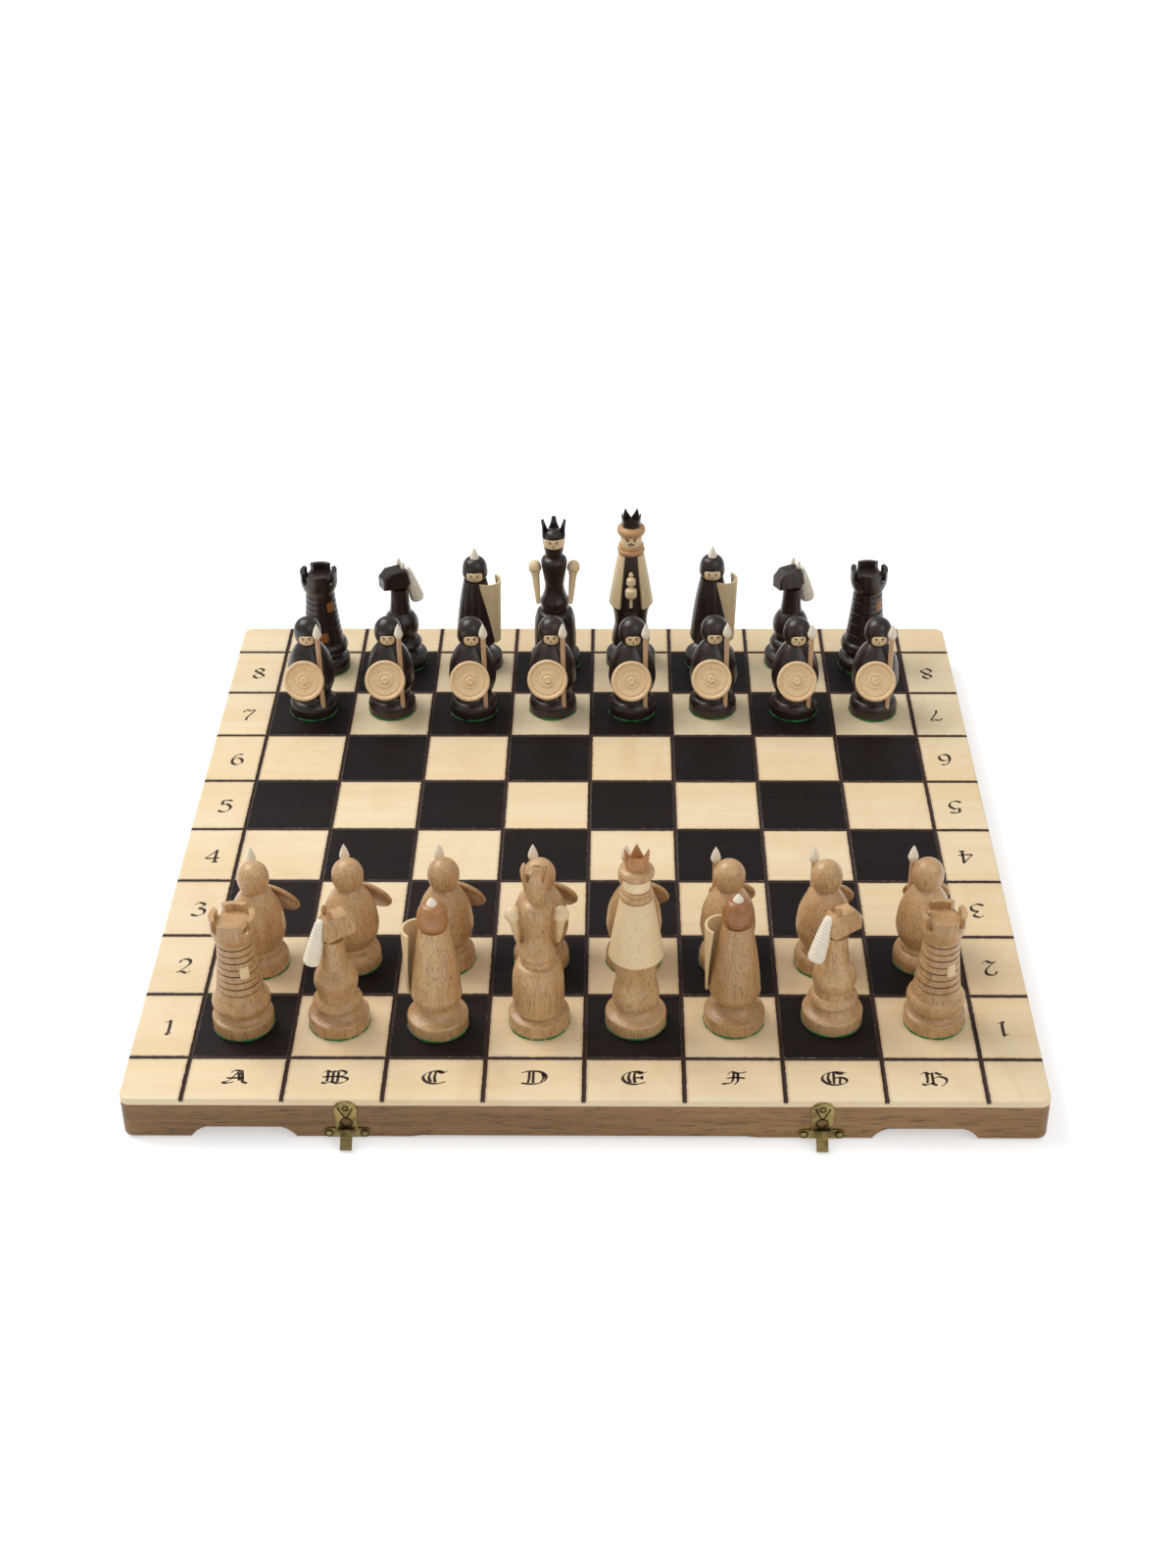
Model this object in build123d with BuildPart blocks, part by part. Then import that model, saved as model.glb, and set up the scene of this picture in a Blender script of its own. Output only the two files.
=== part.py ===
"""A folding wooden chess board with its thirty-two turned and carved men, opened flat on a table.

The origin is the middle of the open board, on the plane where the two halves close on each other.
+Z is up, +X runs from file A to file H, and +Y runs from the white side to the black side.
All sizes are in millimetres.
"""

from build123d import *

from math import atan2, cos, degrees, radians, sin
import os

os.makedirs("parts", exist_ok=True)

# Playing surface and border
square = 54.0
squares_across = 8
border = 34.0
panel_thickness = 4.0
panel_edge_round = 1.2
groove_width = 2.4
groove_depth = 0.7
inlay_thickness = 0.6
inlay_clearance = 0.05

# Frame under the panels
rail_height = 23.0
rail_width = 12.0
corner_radius = 6.0
rail_edge_round = 1.5
fold_gap = 0.2
closing_gap = 0.1
lining_thickness = 0.8
lining_clearance = 0.3

# Finger notches and the shallow relief along the long rails
notch_centre = 184.0
notch_width = 40.0
notch_height = 7.5
notch_slope = 9.0
relief_width = 194.0
relief_depth = 1.7

# Two butt hinges under the fold
hinge_centre = 140.0
hinge_length = 42.0
leaf_width = 10.0
leaf_thickness = 0.8
knuckle_radius = 1.2
pin_radius = 0.6
pin_clearance = 0.05
knuckle_gap = 0.15
hinge_knuckles = 5
hinge_seat_clearance = 0.2
hinge_screws = 3
screw_head_radius = 1.7
screw_shank_radius = 0.8
screw_length = 6.0

# Latches on the front face, and the catches that they hook on
latch_centre = 128.0
plate_thickness = 0.9
latch_crown_radius = 6.3
latch_crown_height = 20.0
latch_waist = 11.6
latch_ear_spacing = 19.4
latch_ear_radius = 3.0
latch_ear_height = 4.2
latch_window_radius = 2.6
latch_window_height = 11.6
hook_width = 6.4
hook_length = 10.3
hook_thickness = 1.3
hook_lip = 0.6
hook_barrel_radius = 1.4
hook_tilt = 54.0
hook_pad_place = 0.42
hook_pad_step = 0.4
pivot_height = 6.5
pivot_radius = 0.6
lug_width = 1.2
lug_clearance = 0.15
nail_radius = 0.8
nail_head_radius = 1.5
nail_head_height = 0.6
nail_length = 5.0
catch_width = 15.0
catch_height = 9.0
catch_base = 0.4
catch_stud_radius = 0.9
catch_stud_height = 0.6
catch_nail_inset = 2.6

# What all the men share: a felt disc and a turned foot
felt_thickness = 0.8
felt_inset = 0.3
foot_radius = 17.0
foot_wall = 6.8
foot_round = 1.3
foot_dish_rise = 4.8

# King
king_stem_radius = 9.6
king_bell_radius = 13.1
king_bell_rise = 4.2
king_waist_radius = 11.1
king_waist_rise = 13.0
king_hip_radius = 13.4
king_hip_rise = 16.0
king_robe_top_radius = 7.2
king_robe_rise = 40.0
cape_thickness = 1.7
cape_opening = 64.0
cape_hem = 2.0
king_collar_radius = 8.8
king_collar_rise = 6.6
king_face_radius = 7.2
king_face_rise = 7.0
king_band_radius = 8.9
king_band_rise = 6.4
king_crown_radius = 6.2
king_crown_flare = 0.9
king_crown_rise = 10.0
king_crown_points = 5
sceptre_knob = 1.1
sceptre_small_ball = 2.1
sceptre_large_ball = 2.9
sceptre_stem_radius = 1.1
sceptre_length = 26.0
sceptre_foot = 51.0

# Queen
queen_skirt_radius = 14.2
queen_skirt_rise = 19.0
queen_lap_radius = 12.6
queen_lap_rise = 9.4
queen_belt_radius = 9.4
queen_belt_rise = 6.0
queen_hip_radius = 9.8
queen_hip_rise = 4.4
queen_waist_radius = 6.4
queen_waist_rise = 14.0
queen_shoulder_radius = 8.7
queen_shoulder_rise = 13.6
queen_nape_rise = 5.4
queen_neck_radius = {"white": 4.4, "black": 5.6}
queen_head_radius = 7.9
queen_head_rise = 16.0
queen_crown_lean = {"white": -1.1, "black": 0.8}
queen_crown_rise = 10.0
queen_petal_turns = (180.0, 110.0, -110.0)
queen_petal_width = 6.4
arm_ball_radius = 4.3
arm_offset = 13.1
arm_ring_radius = 3.1
arm_length = 29.0
arm_swing = 18.0
arm_wrist_radius = 1.4
arm_wrist_offset = 10.6

# Bishop
bishop_stem_radius = 8.8
bishop_hem_radius = 14.0
bishop_hem_rise = 11.0
bishop_shoulder_radius = 7.8
bishop_robe_rise = 43.2
bishop_nape_radius = 6.6
bishop_head_radius = 8.6
bishop_head_rise = 15.8
bishop_spike_radius = 3.5
bishop_spike_rise = {"white": 4.4, "black": 8.3}
tower_shield_radius = 9.4
tower_shield_length = 46.5
tower_shield_thickness = 1.8
tower_shield_offset = 8.4
tower_shield_foot = 20.5
tower_shield_taper = 0.85
tower_shield_point = 0.92
tower_shield_turn = 35.0

# Knight
knight_ring_radius = 13.9
knight_ring_rise = 7.0
knight_pinch_radius = 10.7
knight_pinch_rise = 3.6
knight_ball_radius = 12.3
knight_ball_rise = 17.0
knight_chest_radius = 7.0
knight_neck_radius = 5.2
knight_neck_rise = 18.0
knight_head_turn = 30.0
horse_back = 7.2
horse_muzzle = 13.0
horse_head_depth = 15.6
horse_head_width = 11.0
horse_throat_rise = 3.8
horse_chin_rise = 2.8
horse_muzzle_depth = 7.8
horse_brow_setback = 4.9
horse_nape_drop = 3.1
horse_edge = 1.2
horse_ear_radius = 1.7
horse_ear_height = 6.5
mane_top_radius = 1.9
mane_foot_radius = 4.6
mane_length = 28.0
mane_lean = 16.0

# Rook
rook_bulge_radius = 16.2
rook_bulge_rise = 10.4
rook_foot_radius = 13.1
rook_shoulder_rise = 4.2
rook_top_radius = 9.8
rook_tower_rise = 33.6
rook_parapet_radius = 12.6
rook_flare_rise = 8.6
rook_parapet_rise = 7.2
rook_parapet_wall = 3.0
rook_floor_depth = 4.4
rook_gap_width = 5.0
rook_groove_depth = 0.5
rook_grooves = 8

# Pawn
pawn_foot_radius = 16.0
pawn_collar_radius = 12.6
pawn_collar_rise = 3.4
pawn_pinch_radius = 11.2
pawn_belly_radius = 15.4
pawn_belly_rise = 17.5
pawn_neck_radius = 6.0
pawn_chest_rise = 21.6
pawn_nape_radius = 7.3
pawn_nape_rise = 0.3
pawn_head_radius = 9.0
pawn_head_rise = 17.6
round_shield_radius = 13.4
round_shield_thickness = 3.0
round_shield_height = 34.7
round_shield_lean = 28.0
round_shield_side = 2.0
round_shield_standoff = 3.3
spear_radius = 1.65
spear_side = 7.9
spear_front = 11.2
spear_foot = 6.2
spear_rise_over_head = 1.6
spear_head_radius = 2.9
spear_head_length = 11.0

# Derived places
half_depth = square * squares_across / 2 + border
board_width = square * squares_across + 2 * border
half_width = board_width / 2
grid_edge = square * squares_across / 2
top_z = rail_height + panel_thickness
fold_z = -closing_gap / 2
face_y = -half_depth
foot_top = felt_thickness + foot_wall + foot_round
stem_start = foot_top + foot_dish_rise


def save(part, name):
    """Labels a finished piece and writes it under its own name."""
    part.label = name
    export_step(part, f"parts/{name}.step")


def slab(x_low, x_high, y_low, y_high, z_low, z_high):
    """A plain block between two corners."""
    with BuildPart() as block:
        with BuildSketch(Plane.XY.offset(z_low)):
            with Locations(((x_low + x_high) / 2, (y_low + y_high) / 2)):
                Rectangle(x_high - x_low, y_high - y_low)
        extrude(amount=z_high - z_low)
    return block.part


def outer_corners(part, side):
    """The two upright edges of one half that stand at its outer corners."""
    upright = part.edges().filter_by(Axis.Z)
    return [e for e in upright if abs(e.center().X) > half_width - 0.01 and side * e.center().Y > half_depth - 0.01]


# Where the nails go in: (x, z) on the front face and on the back face
ear_places = []
catch_places = []
for latch_x in (-latch_centre, latch_centre):
    for hand in (-1, 1):
        ear_places.append((latch_x + hand * latch_ear_spacing / 2, latch_ear_height))
        catch_places.append((latch_x + hand * (catch_width / 2 - catch_nail_inset), catch_base + catch_height / 2))


# Board halves: side -1 is the near half, side +1 the far half
def make_panel(side, name):
    """One half of the top: a pale panel with burnt grooves and pockets for its dark squares."""
    y_fold = side * fold_gap / 2
    y_edge = side * half_depth
    with BuildPart() as panel:
        add(slab(-half_width, half_width, min(y_fold, y_edge), max(y_fold, y_edge), rail_height, top_z))
        fillet(outer_corners(panel.part, side), corner_radius)
        top_rim = panel.edges().group_by(Axis.Z)[-1]
        outer = [e for e in top_rim if abs(e.center().Y) > fold_gap]
        fillet(outer, panel_edge_round)
        with BuildSketch(Plane.XZ.offset(half_depth + 1)):
            for k in range(squares_across + 1):
                x = -grid_edge + k * square
                with BuildLine():
                    Polyline(
                        (x - groove_width / 2, top_z),
                        (x + groove_width / 2, top_z),
                        (x, top_z - groove_depth),
                        close=True,
                    )
                make_face()
        extrude(amount=-2 * half_depth - 2, mode=Mode.SUBTRACT)
        with BuildSketch(Plane.YZ.offset(-half_width - 1)):
            for k in range(squares_across // 2 + 1):
                y = side * k * square
                with BuildLine():
                    Polyline(
                        (y - groove_width / 2, top_z),
                        (y + groove_width / 2, top_z),
                        (y, top_z - groove_depth),
                        close=True,
                    )
                make_face()
        extrude(amount=board_width + 2, mode=Mode.SUBTRACT)
        with BuildSketch(Plane.XY.offset(top_z - inlay_thickness)):
            with Locations(*dark_centres(side)):
                Rectangle(square - groove_width, square - groove_width)
        extrude(amount=inlay_thickness, mode=Mode.SUBTRACT)
    save(panel.part, name)


def dark_centres(side):
    """Centres of one half's dark squares; the square at file A, rank 1 is dark."""
    centres = []
    for column in range(squares_across):
        for row in range(squares_across):
            x = -grid_edge + (column + 0.5) * square
            y = -grid_edge + (row + 0.5) * square
            if (column + row) % 2 == 0 and y * side > 0:
                centres.append((x, y))
    return centres


def make_dark_squares(side, name):
    """The dark inlaid squares of one half, each a thin separate tile."""
    width = square - groove_width - 2 * inlay_clearance
    with BuildPart() as tiles:
        with BuildSketch(Plane.XY.offset(top_z - inlay_thickness)):
            with Locations(*dark_centres(side)):
                Rectangle(width, width)
        extrude(amount=inlay_thickness)
    save(tiles.part, name)


def make_long_rail(side, name):
    """The front or back rail, with two finger notches and a shallow relief along its lower edge."""
    y_out = side * half_depth
    y_in = side * (half_depth - rail_width)
    with BuildPart() as rail:
        add(slab(-half_width, half_width, min(y_in, y_out), max(y_in, y_out), 0, rail_height))
        fillet(outer_corners(rail.part, side), corner_radius)
        bottom = rail.edges().group_by(Axis.Z)[0]
        fillet([e for e in bottom if abs(e.center().Y) > half_depth - 0.1], rail_edge_round)
        with BuildSketch(Plane.XZ.offset(-(half_depth + 1))):
            for x in (-notch_centre, notch_centre):
                flat = notch_width / 2
                foot = flat + notch_slope
                with BuildLine():
                    Line((x - foot, 0), (x + foot, 0))
                    ThreePointArc(
                        (x + foot, 0),
                        (x + flat + notch_slope * 0.6, notch_height * 0.62),
                        (x + flat, notch_height),
                    )
                    Line((x + flat, notch_height), (x - flat, notch_height))
                    ThreePointArc(
                        (x - flat, notch_height),
                        (x - flat - notch_slope * 0.6, notch_height * 0.62),
                        (x - foot, 0),
                    )
                make_face()
            with BuildLine():
                Polyline(
                    (-relief_width / 2, 0),
                    (relief_width / 2, 0),
                    (relief_width / 2 - notch_slope, relief_depth),
                    (notch_slope - relief_width / 2, relief_depth),
                    close=True,
                )
            make_face()
        extrude(amount=board_width + 2, mode=Mode.SUBTRACT)
        with BuildSketch(Plane.XZ.offset(-y_out)):
            with Locations(*(ear_places if side < 0 else catch_places)):
                Circle(nail_radius)
        extrude(amount=side * (nail_length - plate_thickness), mode=Mode.SUBTRACT)
    save(rail.part, name)


def make_hinge_rail(side, name):
    """The rail beside the fold, with seats for the hinge leaves, knuckles and screws."""
    y_fold = side * fold_gap / 2
    y_in = side * rail_width
    with BuildPart() as rail:
        add(slab(-half_width, half_width, min(y_fold, y_in), max(y_fold, y_in), 0, rail_height))
        for x in (-hinge_centre, hinge_centre):
            seat = hinge_length / 2 + hinge_seat_clearance
            seat_y = leaf_width + hinge_seat_clearance
            add(
                slab(x - seat, x + seat, min(0, side * seat_y), max(0, side * seat_y), -1, leaf_thickness),
                mode=Mode.SUBTRACT,
            )
            with BuildSketch(Plane.YZ.offset(x - seat)):
                with Locations((0, fold_z)):
                    Circle(knuckle_radius + hinge_seat_clearance)
            extrude(amount=2 * seat, mode=Mode.SUBTRACT)
            with Locations(*[(sx, side * screw_y, leaf_thickness) for sx in screw_places(x)]):
                Cylinder(
                    screw_shank_radius,
                    screw_length,
                    align=(Align.CENTER, Align.CENTER, Align.MIN),
                    mode=Mode.SUBTRACT,
                )
    save(rail.part, name)


screw_y = (leaf_width + knuckle_radius) / 2


def screw_places(centre):
    """Where one leaf's screws stand along the fold."""
    pitch = hinge_length / hinge_screws
    return [centre + (k - (hinge_screws - 1) / 2) * pitch for k in range(hinge_screws)]


def make_side_rail(side, hand, name):
    """A short rail between the long rail and the hinge rail, at the left (-1) or the right (+1)."""
    y_low = side * rail_width
    y_high = side * (half_depth - rail_width)
    x_out = hand * half_width
    x_in = hand * (half_width - rail_width)
    with BuildPart() as rail:
        add(slab(min(x_in, x_out), max(x_in, x_out), min(y_low, y_high), max(y_low, y_high), 0, rail_height))
        bottom = rail.edges().group_by(Axis.Z)[0].filter_by(Axis.Y)
        fillet([e for e in bottom if abs(e.center().X) > half_width - 0.1], rail_edge_round)
    save(rail.part, name)


def make_lining(side, name):
    """A thin lining glued under the panel, inside the frame."""
    y_low = rail_width + lining_clearance
    y_high = half_depth - rail_width - lining_clearance
    x_edge = half_width - rail_width - lining_clearance
    low = min(side * y_low, side * y_high)
    high = max(side * y_low, side * y_high)
    save(slab(-x_edge, x_edge, low, high, rail_height - lining_thickness, rail_height), name)


for half_side, half_name in ((-1, "near"), (1, "far")):
    make_panel(half_side, f"{half_name}_top_panel")
    make_dark_squares(half_side, f"{half_name}_dark_squares")
    make_long_rail(half_side, "near_front_rail" if half_side < 0 else "far_back_rail")
    make_hinge_rail(half_side, f"{half_name}_hinge_rail")
    make_side_rail(half_side, -1, f"{half_name}_left_rail")
    make_side_rail(half_side, 1, f"{half_name}_right_rail")
    make_lining(half_side, f"{half_name}_lining")


# Hinges
def knuckle_span(centre, k):
    """Start and end of one knuckle along the fold."""
    pitch = hinge_length / hinge_knuckles
    start = centre - hinge_length / 2 + k * pitch
    return start + knuckle_gap / 2, start + pitch - knuckle_gap / 2


def make_leaves(side, first, name):
    """Both hinges' leaves on one half; its knuckles are every second one, counted from first."""
    with BuildPart() as leaves:
        for centre in (-hinge_centre, hinge_centre):
            low = centre - hinge_length / 2
            inner = knuckle_radius + hinge_seat_clearance
            add(
                slab(
                    low,
                    low + hinge_length,
                    min(side * inner, side * leaf_width),
                    max(side * inner, side * leaf_width),
                    0,
                    leaf_thickness,
                )
            )
            for k in range(first, hinge_knuckles, 2):
                start, end = knuckle_span(centre, k)
                with BuildSketch(Plane.YZ.offset(start)):
                    with Locations((0, fold_z)):
                        Circle(knuckle_radius)
                    with BuildLine():
                        Polyline(
                            (0, leaf_thickness),
                            (side * inner, leaf_thickness),
                            (side * inner, 0),
                            (0, fold_z),
                            close=True,
                        )
                    make_face()
                extrude(amount=end - start)
        for centre in (-hinge_centre, hinge_centre):
            with BuildSketch(Plane.YZ.offset(centre - hinge_length / 2)):
                with Locations((0, fold_z)):
                    Circle(pin_radius + pin_clearance)
            extrude(amount=hinge_length, mode=Mode.SUBTRACT)
            with BuildSketch(Plane.XY):
                with Locations(*[(sx, side * screw_y) for sx in screw_places(centre)]):
                    Circle(screw_head_radius)
            extrude(amount=leaf_thickness, taper=30, mode=Mode.SUBTRACT)
    save(leaves.part, name)


def make_screws(side, name):
    """The countersunk screws of one half's leaves."""
    head_end = screw_head_radius - leaf_thickness * 0.577
    with BuildPart() as screws:
        for centre in (-hinge_centre, hinge_centre):
            for sx in screw_places(centre):
                with Locations((sx, side * screw_y, 0)):
                    Cone(
                        screw_head_radius,
                        head_end,
                        leaf_thickness,
                        align=(Align.CENTER, Align.CENTER, Align.MIN),
                    )
                with Locations((sx, side * screw_y, leaf_thickness)):
                    Cylinder(
                        screw_shank_radius,
                        screw_length,
                        align=(Align.CENTER, Align.CENTER, Align.MIN),
                    )
    save(screws.part, name)


make_leaves(-1, 1, "hinge_leaves_near")
make_leaves(1, 0, "hinge_leaves_far")
make_screws(-1, "hinge_screws_near")
make_screws(1, "hinge_screws_far")

with BuildPart() as pins:
    for centre in (-hinge_centre, hinge_centre):
        with BuildSketch(Plane.YZ.offset(centre - hinge_length / 2)):
            with Locations((0, fold_z)):
                Circle(pin_radius)
        extrude(amount=hinge_length)
save(pins.part, "hinge_pins")


# Latches
pivot_y = face_y - plate_thickness - hook_barrel_radius


def make_latch_plate(centre, name):
    """A stamped plate with a rounded crown, two nailed ears, a window and two lugs for the hook's pin."""
    ear = latch_ear_spacing / 2
    with BuildPart() as plate:
        with BuildSketch(Plane.XZ.offset(half_depth)):
            with Locations((centre, latch_crown_height)):
                Circle(latch_crown_radius)
            with Locations((centre, (latch_crown_height + latch_ear_height) / 2)):
                Rectangle(latch_waist, latch_crown_height - latch_ear_height)
            with Locations((centre, latch_ear_height)):
                Rectangle(latch_ear_spacing, 2 * latch_ear_radius)
            with Locations((centre - ear, latch_ear_height), (centre + ear, latch_ear_height)):
                Circle(latch_ear_radius)
            with Locations((centre - ear, latch_ear_height), (centre + ear, latch_ear_height)):
                Circle(nail_radius, mode=Mode.SUBTRACT)
            with Locations((centre, latch_window_height)):
                Circle(latch_window_radius, mode=Mode.SUBTRACT)
        extrude(amount=plate_thickness)
        for hand in (-1, 1):
            lug_start = hook_width / 2 + lug_clearance
            lug_x = centre + (lug_start if hand > 0 else -lug_start - lug_width)
            with BuildSketch(Plane.YZ.offset(lug_x)):
                with Locations((pivot_y, pivot_height)):
                    Circle(hook_barrel_radius)
                with Locations(((face_y - plate_thickness + pivot_y) / 2, pivot_height)):
                    Rectangle(hook_barrel_radius, 2 * hook_barrel_radius)
            extrude(amount=lug_width)
        with BuildSketch(Plane.YZ.offset(centre - hook_width)):
            with Locations((pivot_y, pivot_height)):
                Circle(pivot_radius)
        extrude(amount=2 * hook_width, mode=Mode.SUBTRACT)
    save(plate.part, name)


def make_latch_hook(centre, name):
    """A hook lever rolled round its pin, hanging outwards, with a lip and a square thumb pad."""
    out_y = -sin(radians(hook_tilt))
    down_z = -cos(radians(hook_tilt))
    arm = Plane(
        origin=(centre - hook_width / 2, pivot_y, pivot_height),
        x_dir=(0, out_y, down_z),
        z_dir=(1, 0, 0),
    )
    with BuildPart() as hook:
        with BuildSketch(arm):
            Circle(hook_barrel_radius)
            with Locations((hook_length / 2, 0)):
                Rectangle(hook_length, hook_thickness)
            with Locations((hook_length - hook_thickness / 2, hook_lip / 2)):
                Rectangle(hook_thickness, hook_lip + hook_thickness)
            with Locations((hook_length * hook_pad_place, 0)):
                Rectangle(hook_thickness, hook_thickness + 2 * hook_pad_step)
            Circle(pivot_radius + pin_clearance, mode=Mode.SUBTRACT)
        extrude(amount=hook_width)
    save(hook.part, name)


latch_pin_length = hook_width + 2 * (lug_clearance + lug_width)

for latch_x, hand_name in ((-latch_centre, "left"), (latch_centre, "right")):
    make_latch_plate(latch_x, f"{hand_name}_latch_plate")
    make_latch_hook(latch_x, f"{hand_name}_latch_hook")

with BuildPart() as latch_pins:
    for latch_x in (-latch_centre, latch_centre):
        with BuildSketch(Plane.YZ.offset(latch_x - latch_pin_length / 2)):
            with Locations((pivot_y, pivot_height)):
                Circle(pivot_radius)
        extrude(amount=latch_pin_length)
save(latch_pins.part, "latch_pins")


def make_nails(places, outward_y, name):
    """Round-headed nails driven through a plate; places are (x, z) on the outer face of the plate."""
    surface_y = outward_y * (half_depth + plate_thickness)
    outward = Plane(origin=(0, surface_y, 0), x_dir=(1, 0, 0), z_dir=(0, outward_y, 0))
    local = [outward.to_local_coords(Vector(x, surface_y, z)) for x, z in places]
    with BuildPart() as nails:
        with BuildSketch(outward):
            with Locations(*[(v.X, v.Y) for v in local]):
                Circle(nail_head_radius)
        extrude(amount=nail_head_height)
        with BuildSketch(outward):
            with Locations(*[(v.X, v.Y) for v in local]):
                Circle(nail_radius)
        extrude(amount=-nail_length)
    save(nails.part, name)


make_nails(ear_places, -1, "latch_nails")
make_nails(catch_places, 1, "catch_nails")

with BuildPart() as catches:
    back = Plane(origin=(0, half_depth, 0), x_dir=(-1, 0, 0), z_dir=(0, 1, 0))
    with BuildSketch(back):
        with Locations((-latch_centre, catch_base + catch_height / 2), (latch_centre, catch_base + catch_height / 2)):
            RectangleRounded(catch_width, catch_height, catch_nail_inset / 2)
        with Locations(*[(-x, z) for x, z in catch_places]):
            Circle(nail_radius, mode=Mode.SUBTRACT)
    extrude(amount=plate_thickness)
    stud_places = [(-latch_centre, catch_base + catch_stud_radius), (latch_centre, catch_base + catch_stud_radius)]
    with BuildSketch(back.offset(plate_thickness)):
        with Locations(*stud_places):
            Circle(catch_stud_radius)
    extrude(amount=catch_stud_height)
save(catches.part, "catch_plates")


ellipse_reach = 0.5523


# Men: each is made standing at the origin, facing +Y, with its felt on z = 0
def turned(start_radius, start_z, steps):
    """A turned solid. Each step is the next radius, the rise to it and how far the outline bows outwards.

    A step that bows as a "dome" leaves upright and arrives level, as a quarter of an ellipse.
    """
    radius, z = start_radius, start_z
    with BuildPart() as solid:
        with BuildSketch(Plane.XZ):
            with BuildLine():
                for next_radius, rise, bow in steps:
                    here, there = Vector(radius, z), Vector(next_radius, z + rise)
                    if bow == "dome":
                        Bezier(
                            here,
                            (radius, z + rise * ellipse_reach),
                            (next_radius + (radius - next_radius) * ellipse_reach, z + rise),
                            there,
                        )
                    elif bow:
                        along = (there - here).normalized()
                        Bezier(here, (here + there) / 2 + Vector(along.Y, -along.X) * 2 * bow, there)
                    else:
                        Line(here, there)
                    radius, z = next_radius, z + rise
                if abs(z - start_z) < 1e-6:
                    Line((radius, z), (start_radius, start_z))
                else:
                    corners = [(radius, z), (0, z), (0, start_z), (start_radius, start_z)]
                    for a, b in zip(corners, corners[1:]):
                        if a != b:
                            Line(a, b)
            make_face()
        revolve(axis=Axis.Z)
    return solid.part


def foot_steps(radius, stem_radius):
    """Outline steps of a foot: an upright wall, a rounded rim and a dished top up to the stem."""
    return [
        (radius, foot_wall, 0),
        (radius - foot_round, foot_round, 0.35),
        (stem_radius, foot_dish_rise, -0.9),
    ]


def felt_disc(radius):
    """The felt under a foot."""
    with BuildPart() as felt:
        with BuildSketch(Plane.XY):
            Circle(radius - felt_inset)
        extrude(amount=felt_thickness)
    return felt.part


def cut_crown(cup, angles, gap_width, floor_z, height):
    """Cuts upright gaps through a hollow cup's wall at the angles given, down to floor_z."""
    with BuildPart() as crown:
        add(cup)
        for angle in angles:
            radial = Plane(origin=(0, 0, 0), x_dir=(-sin(radians(angle)), cos(radians(angle)), 0),
                           z_dir=(cos(radians(angle)), sin(radians(angle)), 0))
            with BuildSketch(radial):
                with BuildLine():
                    Polyline(
                        (0, floor_z),
                        (gap_width / 2, floor_z + height),
                        (-gap_width / 2, floor_z + height),
                        close=True,
                    )
                make_face()
            extrude(amount=3 * foot_radius, mode=Mode.SUBTRACT)
    return crown.part


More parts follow.
